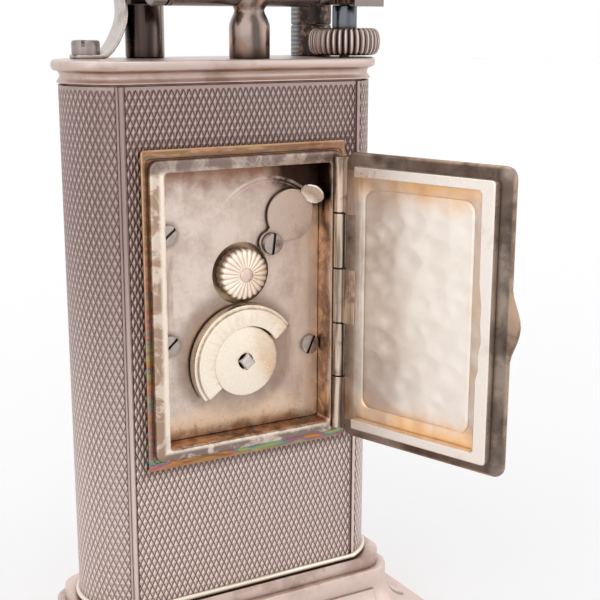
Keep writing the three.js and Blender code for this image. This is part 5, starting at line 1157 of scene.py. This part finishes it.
# Filed silver: grey, with the file's marks along the arm.
arm_metal = worn_metal(
    "filed silver arm", "#9d928e", "#786a64", "#2a2120", patch=5, rough=0.32, grain=0.4,
    stretch=(0.15, 1, 1),
)
bm = bmesh.new()
for near, far in ((-6.25, -5.05), (-2.95, -1.75)):
    turn(
        bm,
        [
            (0.9, near), (2.9, near), (3.1, near + 0.18), (3.1, far - 0.18), (2.9, far), (0.9, far),
            (0.9, near),
        ],
        (arm_x, 0, arm_z), "Y", 64,
    )
saddle = ((5.4, 86.75), (7, 87.73), (8.4, 87.73), (9.6, 87.15), (8.9, 86.95), (6.6, 86.95))
stack(bm, [[(x, y, z) for x, z in saddle] for y in (-5.2, -2.8)])
bar = [
    (-5.1, 86.15), (-5.1, 87.6), (-4.95, 87.8), (-3.05, 87.8), (-2.9, 87.6), (-2.9, 86.15), (-3.05, 86.1),
    (-4.95, 86.1),
]
stack(bm, [[(x, y, z) for y, z in bar] for x in (7.4, -14.6)])
turn(bm, [
    (0, 86.1), (2.4, 86.1), (2.5, 86.2), (2.5, 87.45), (2.42, 87.65), (2.2, 87.78), (1.6, 87.8), (0, 87.8),
], wick_at, steps=56)
piece("lifting_arm", bm, arm_metal, ["snuffer_arm"], body="lift_arm", edge=0.05)


# Snuffer cap and wick guard. Two short tubes that meet at a thin seam round the wick: turned silver,
# sooted to a dry black, with fine turning rings where the soot has rubbed off.
# Sooted silver: dry black with brown patches, and pale rings where it is rubbed.
soot = worn_metal(
    "sooted silver", "#4a4140", "#6e5847", "#14100f", patch=2.2, rough=0.42, grime_and_shade=0.85, grain=0.35,
)
tree = soot.node_tree
spot = add(tree, "TexCoord", out="Object")
rings_cut = add(
    tree, "TexWave", {"Vector": spot, "Scale": 600, "Distortion": 0.8, "Detail": 1}, out="Fac",
    bands_direction="Z",
)
facing = add(tree, "VectorMath", {0: spot, 1: (0.87, -0.5, 0)}, out="Value", operation="DOT_PRODUCT")
rubbed = add(tree, "MapRange", {0: facing, 1: -0.0094, 2: -0.0088, 4: 0.85})
crumbs = add(tree, "TexNoise", {"Vector": spot, "Scale": 1100, "Detail": 6, "Roughness": 0.7})
rust = add(tree, "MapRange", {0: crumbs, 1: 0.5, 2: 0.62, 4: 0.7})
ring_tones = add(
    tree, "Mix", {0: rings_cut, 6: linear("#6d7074"), 7: linear("#9b9ea2")}, out=2, data_type="RGBA",
)
paint(soot, (rust, "#a58468"), (rubbed, ring_tones))
emboss(soot, add(tree, "Math", {0: rings_cut, 1: rubbed}, operation="MULTIPLY"), 0.4, 0.00008)
bm = bmesh.new()
turn(bm, [
    (0.65, 69.1), (0.95, 69.1), (0.95, deck), (2.4, deck), (2.5, 75.2), (2.5, 78.7), (2.42, 78.82),
    (2.3, 78.85), (1.75, 78.85), (1.65, 78.75), (1.65, 76.4), (0.65, 76.4), (0.65, 69.1),
], wick_at, steps=56)
piece("wick_guard_tube", bm, soot, ["wick_guard"], sharp=35)
bm = bmesh.new()
turn(bm, [
    (1.75, 78.87), (2.34, 78.87), (2.46, 78.95), (2.5, 79.15), (2.5, 85.2), (2.38, 85.3), (2.38, 85.5),
    (2.5, 85.6), (2.5, 86.1), (0, 86.1),
], wick_at, steps=56)
turn(bm, [(1.75, 78.87), (1.7, 79.05), (1.7, 84.7), (0, 84.7)], wick_at, steps=56)
piece("snuffer_cap_tube", bm, soot, ["snuffer_cap"], body="lift_arm", sharp=35)


# Leaf spring. A strip of spring steel, plated pale, screwed down at its foot and curved up to press
# on the arm's round end; its screw is a low slotted head.
# Plated spring steel: pale and smooth, with long brown streaks.
bright_spring = worn_metal(
    "plated spring steel", "#c9bfb9", "#988a80", "#5b4838", patch=3, rough=0.24, cavity=0.6, grime_and_shade=0.7,
    grain=1.6, stretch=(1, 0.3, 1),
)
route = [
    (13.3 - x * 3.05, deck + z * 6.7)
    for x, z in (
        (0, 0), (0.16, 0.02), (0.38, 0.105), (0.62, 0.25), (0.82, 0.43), (0.96, 0.6), (1, 0.74),
        (0.99, 0.88), (0.95, 1),
    )
]
outer_line = [(x + 0.45, z + 0.15 + (0.3 - 0.3 * i / 8)) for i, (x, z) in enumerate(route)]
strip = [(16.3, deck)] + route + outer_line[::-1] + [(16.3, 75.55)]
bm = bmesh.new()
cut_out(bm, [strip], -5.6, -2.4)
piece("leaf_spring", bm, bright_spring, ["arm_spring"], edge=0.1, sharp=50)
bm = slotted_head(1.6, 0, 1.6, 0.3, 0.4, 0.4, 60)
bmesh.ops.translate(bm, vec=(14.9, -4, 75.55), verts=bm.verts)
turn(bm, [(0, 74), (0.8, 74), (0.8, 75.6), (0, 75.6)], (14.9, -4, 0), steps=32)
piece("leaf_spring_screw", bm, arm_metal, ["arm_spring_screw"], sharp=35)


# Flint tube on its bottle-shaped post. A plain turned tube held in a ball on a waisted post, with a
# knurled screw at its rear end that presses the spring and the flint against the steel.
tube_y, tube_z = 2.6, 83
bm = bmesh.new()
turn(bm, [
    (0, 72.7), (1.05, 72.7), (1.05, deck), (2.25, deck), (2.35, 75.2), (2.35, 78.6), (2.31, 78.95),
    (2.2, 79.3), (2, 79.75), (1.82, 80.1), (1.72, 80.4), (1.75, 80.62), (1.95, 80.92), (2.2, 81.3),
    (2.42, 81.8), (2.56, 82.4), (2.6, 83), (2.56, 83.6), (2.42, 84.2), (2.16, 84.75), (1.75, 85.25),
    (1.2, 85.5), (0.6, 85.6), (0, 85.6),
], (-2.5, tube_y, 0), steps=56)
piece("tube_post_bottle", bm, blackened, ["tube_post"], sharp=50)

# Oxidised silver tube: grey brown, its gleams drawn out along the tube.
tube_silver = worn_metal(
    "oxidised silver tube", "#8d827f", "#6e5f59", "#231c1b", patch=4, rough=0.25, cavity=1, grain=0.4,
    stretch=(0.12, 1, 1),
)
bm = bmesh.new()
turn(bm, [
    (1.35, -12.7), (2, -12.7), (2.1, -12.6), (2.1, -11.3), (2.02, -11.2), (2.02, -11), (2.1, -10.9),
    (2.1, 7.5), (2, 7.6), (2.1, 7.7), (2.1, 7.95), (2.05, 8), (1.35, 8), (1.35, -12.7),
], (0, tube_y, tube_z), "X", 56)
box(bm, (-18.9, 4.85, 81), (-14.8, 5.75, 85.05))
box(bm, (-18.9, 0.35, 85.05), (-12.6, 5.75, 86.05))
box(bm, (-12.7, 0.55, 83), (-10.9, 4.65, 86))
piece("flint_tube_and_bracket", bm, tube_silver, ["flint_tube"], edge=0.14)


def fluted(steps, radius, at):
    """Points round a place whose radius is given for each step."""
    turns = [(radius(i), math.tau * i / steps) for i in range(steps)]
    return [(at[0] + r * math.cos(a), at[1] + r * math.sin(a)) for r, a in turns]


bm = bmesh.new()
knurls = fluted(160, lambda i: 2.15 * (1 - 0.05 * (1 - abs(math.cos(math.pi * i / 8)) ** 0.6)), (0, 0))
stack(bm, [
    [(x, tube_y + share * y, tube_z + share * z) for y, z in knurls]
    for share, x in ((0.9, 8.1), (1, 8.25), (1, 9.6), (0.93, 9.75), (0.7, 9.8))
])
turn(bm, [(0, 3.5), (1.2, 3.5), (1.2, 8.2), (0, 8.2)], (0, tube_y, tube_z), "X", 32)
piece("flint_screw_knurled", bm, tube_silver, ["flint_screw"], body="flint_plug")


# Thumb wheel, collar and striker on one spindle. The wheel is a barrel with 36 coarse flutes whose
# crests a thumb keeps bright, with painted highlights on them, over dark grooves; the collar is
# blued steel and the striker is rusty.
wheel_at, flutes = (-15.4, 2.6), 36
# Fluted silver: pale crests and brown black grooves.
wheel_metal = worn_metal(
    "fluted silver wheel", "#8d8180", "#6b5a55", "#1f1614", patch=3, cover=0.45, cavity=0.5, grime_and_shade=0.95,
    grain=0.35,
)
tree = wheel_metal.node_tree
spot = add(tree, "TexCoord", out="Object")
dx = add(
    tree, "Math", {0: add(tree, "SeparateXYZ", {0: spot}), 1: wheel_at[0] / 1000}, operation="SUBTRACT",
)
dy = add(
    tree, "Math", {0: add(tree, "SeparateXYZ", {0: spot}, out=1), 1: wheel_at[1] / 1000},
    operation="SUBTRACT",
)
angle_round = add(tree, "Math", {0: dy, 1: dx}, operation="ARCTAN2")
flute_angle = add(tree, "Math", {0: angle_round, 1: flutes / 2}, operation="MULTIPLY")
wave = add(tree, "Math", {0: flute_angle}, operation="COSINE")
crest = add(tree, "Math", {0: wave}, operation="ABSOLUTE")
# Paler crests: worn bright, and painted highlight.
crest_wear_and_highlight = add(tree, "MapRange", {0: crest, 1: 0.8, 2: 0.97}, interpolation_type="SMOOTHSTEP")
tones = add(tree, "Mix", {0: crest_wear_and_highlight, 6: linear("#80695f"), 7: linear("#d6c9c2")}, out=2, data_type="RGBA")
paint(wheel_metal, (0.78, tones))
bm = bmesh.new()
rings = []
for turned in (math.pi * (i / 14 - 0.5) for i in range(15)):
    crest, z = 4.3 - 0.95 * (1 - math.cos(turned)) ** 1.2, 76.925 + 1.575 * math.sin(turned)
    flutes_at = fluted(
        flutes * 6, lambda i: crest - 0.36 * (1 - abs(math.cos(math.pi * i / 6)) ** 0.7), wheel_at,
    )
    rings.append([(x, y, z) for x, y in flutes_at])
stack(bm, rings)
piece("thumb_wheel_fluted", bm, wheel_metal, ["thumb_wheel"], body="spark_wheel", sharp=60)

# Blued steel, worn: cool dark gleams that run up the spindle.
collar_steel = worn_metal(
    "blued steel collar", "#666a6f", "#50525a", "#181a1f", patch=2, cover=0.4, rough=0.2, cavity=0.7,
    grain=0.4, stretch=(1, 1, 0.15),
)
bm = bmesh.new()
turn(bm, [
    (0, 73.9), (0.6, 73.9), (0.6, 78.5), (1.42, 78.5), (1.48, 78.56), (1.48, 81.05), (1.42, 81.15),
    (0.6, 81.15), (0.6, 86), (0.55, 86.05), (0, 86.05),
], (*wheel_at, 0), steps=48)
piece(
    "spindle_and_collar", bm, collar_steel, ["wheel_spindle"], body="spark_wheel", sharp=35,
)

# Rusty hardened steel: matt red brown.
rusty = worn_metal(
    "hardened steel, rusty", "#6a4f40", "#4c3024", "#1d110d", patch=1.5, cover=0.55, rough=0.5, cavity=0.4,
    grain=0.3,
)
bm = bmesh.new()
stack(bm, [
    [(x, y, z) for x, y in fluted(96, lambda i: radius - (0, 0.15, 0.1, 0.05)[i % 4], wheel_at)]
    for radius, z in ((1.85, 81.2), (2, 81.35), (2, 84.7), (1.85, 84.85))
])
piece("striker_toothed", bm, rusty, ["striker_wheel"], body="spark_wheel", sharp=25)


# Screws and filler under the foot, and what the case hides: tank, movement, springs and flint. They
# keep their solids; each gets its real metal, fibre or stone.
# Zinc-plated steel: an even pale grey.
under_foot = worn_metal(
    "zinc-plated steel", "#b5b2ae", "#8f8a84", "#3d3733", patch=3, rough=0.35, grain=0.3,
)
# Rolled brass: warm yellow with fine lines.
brass = worn_metal(
    "rolled brass", "#d8b25e", "#b98f45", "#5d4220", cover=0.4, rough=0.28, cavity=0.8, grain=0.25,
    stretch=(1, 1, 0.1),
)
# Tarnished brass: dull and brownish.
old_brass = worn_metal(
    "tarnished brass", "#cfb193", "#a5835f", "#4a3424", patch=4, rough=0.4, cavity=0.2, grain=0.25,
    stretch=(1, 1, 0.1),
)
# Tinned sheet: a soft cool grey.
tin = worn_metal("tinned sheet", "#b9b8b4", "#97948d", "#55504a", patch=10, rough=0.4, grain=0.8)
# Hardened steel: an even mid grey.
hardened = worn_metal("hardened steel", "#9c9a98", "#77736f", "#35302c", patch=2, cover=0.4, grain=0.2)
cotton = empty_material("twisted cotton")  # off-white fibres in a slanting twist, charred grey
tree = cotton.node_tree
spot = add(tree, "TexCoord", out="Object")
twist = add(
    tree, "TexWave", {"Vector": spot, "Scale": 420, "Distortion": 3, "Detail": 3}, out="Fac",
    bands_direction="DIAGONAL",
)
raised = add(tree, "Bump", {"Height": twist, "Strength": 0.7, "Distance": 0.0001})
yarn = add(tree, "Mix", {0: twist, 6: linear("#8f867a"), 7: linear("#ddd5c6")}, out=2, data_type="RGBA")
fibre = add(
    tree, "BsdfPrincipled", {"Base Color": yarn, "Roughness": 0.95, "Normal": raised, "Sheen Weight": 0.3},
)
add(tree, "OutputMaterial", {"Surface": fibre})
stone = empty_material("flint alloy")  # cast spark metal: dull dark grey, grainy where it wears
tree = stone.node_tree
grains = add(tree, "TexNoise", {"Vector": add(tree, "TexCoord", out="Object"), "Scale": 4000, "Detail": 4})
greys = add(tree, "Mix", {0: grains, 6: linear("#34312e"), 7: linear("#5b5752")}, out=2, data_type="RGBA")
spark_metal = add(tree, "BsdfPrincipled", {"Base Color": greys, "Metallic": 0.7, "Roughness": 0.6})
add(tree, "OutputMaterial", {"Surface": spark_metal})
for material, names in (
    (under_foot, ("base_screw_left", "base_screw_right")),
    (brass, (
        "movement_front_plate", "mainspring_barrel", "centre_wheel", "third_wheel", "balance_wheel",
        "cannon_pinion", "minute_wheel", "hour_wheel", "filler_screw",
    )),
    (old_brass, ("movement_back_plate",)),
    (tin, ("fuel_tank",)),
    (hardened, ("mainspring", "ratchet_wheel", "regulator_index", "flint_spring")),
    (cotton, ("wick", "tank_packing", "filler_washer")),
    (stone, ("flint",)),
):
    for name in names:
        coat(name, material)
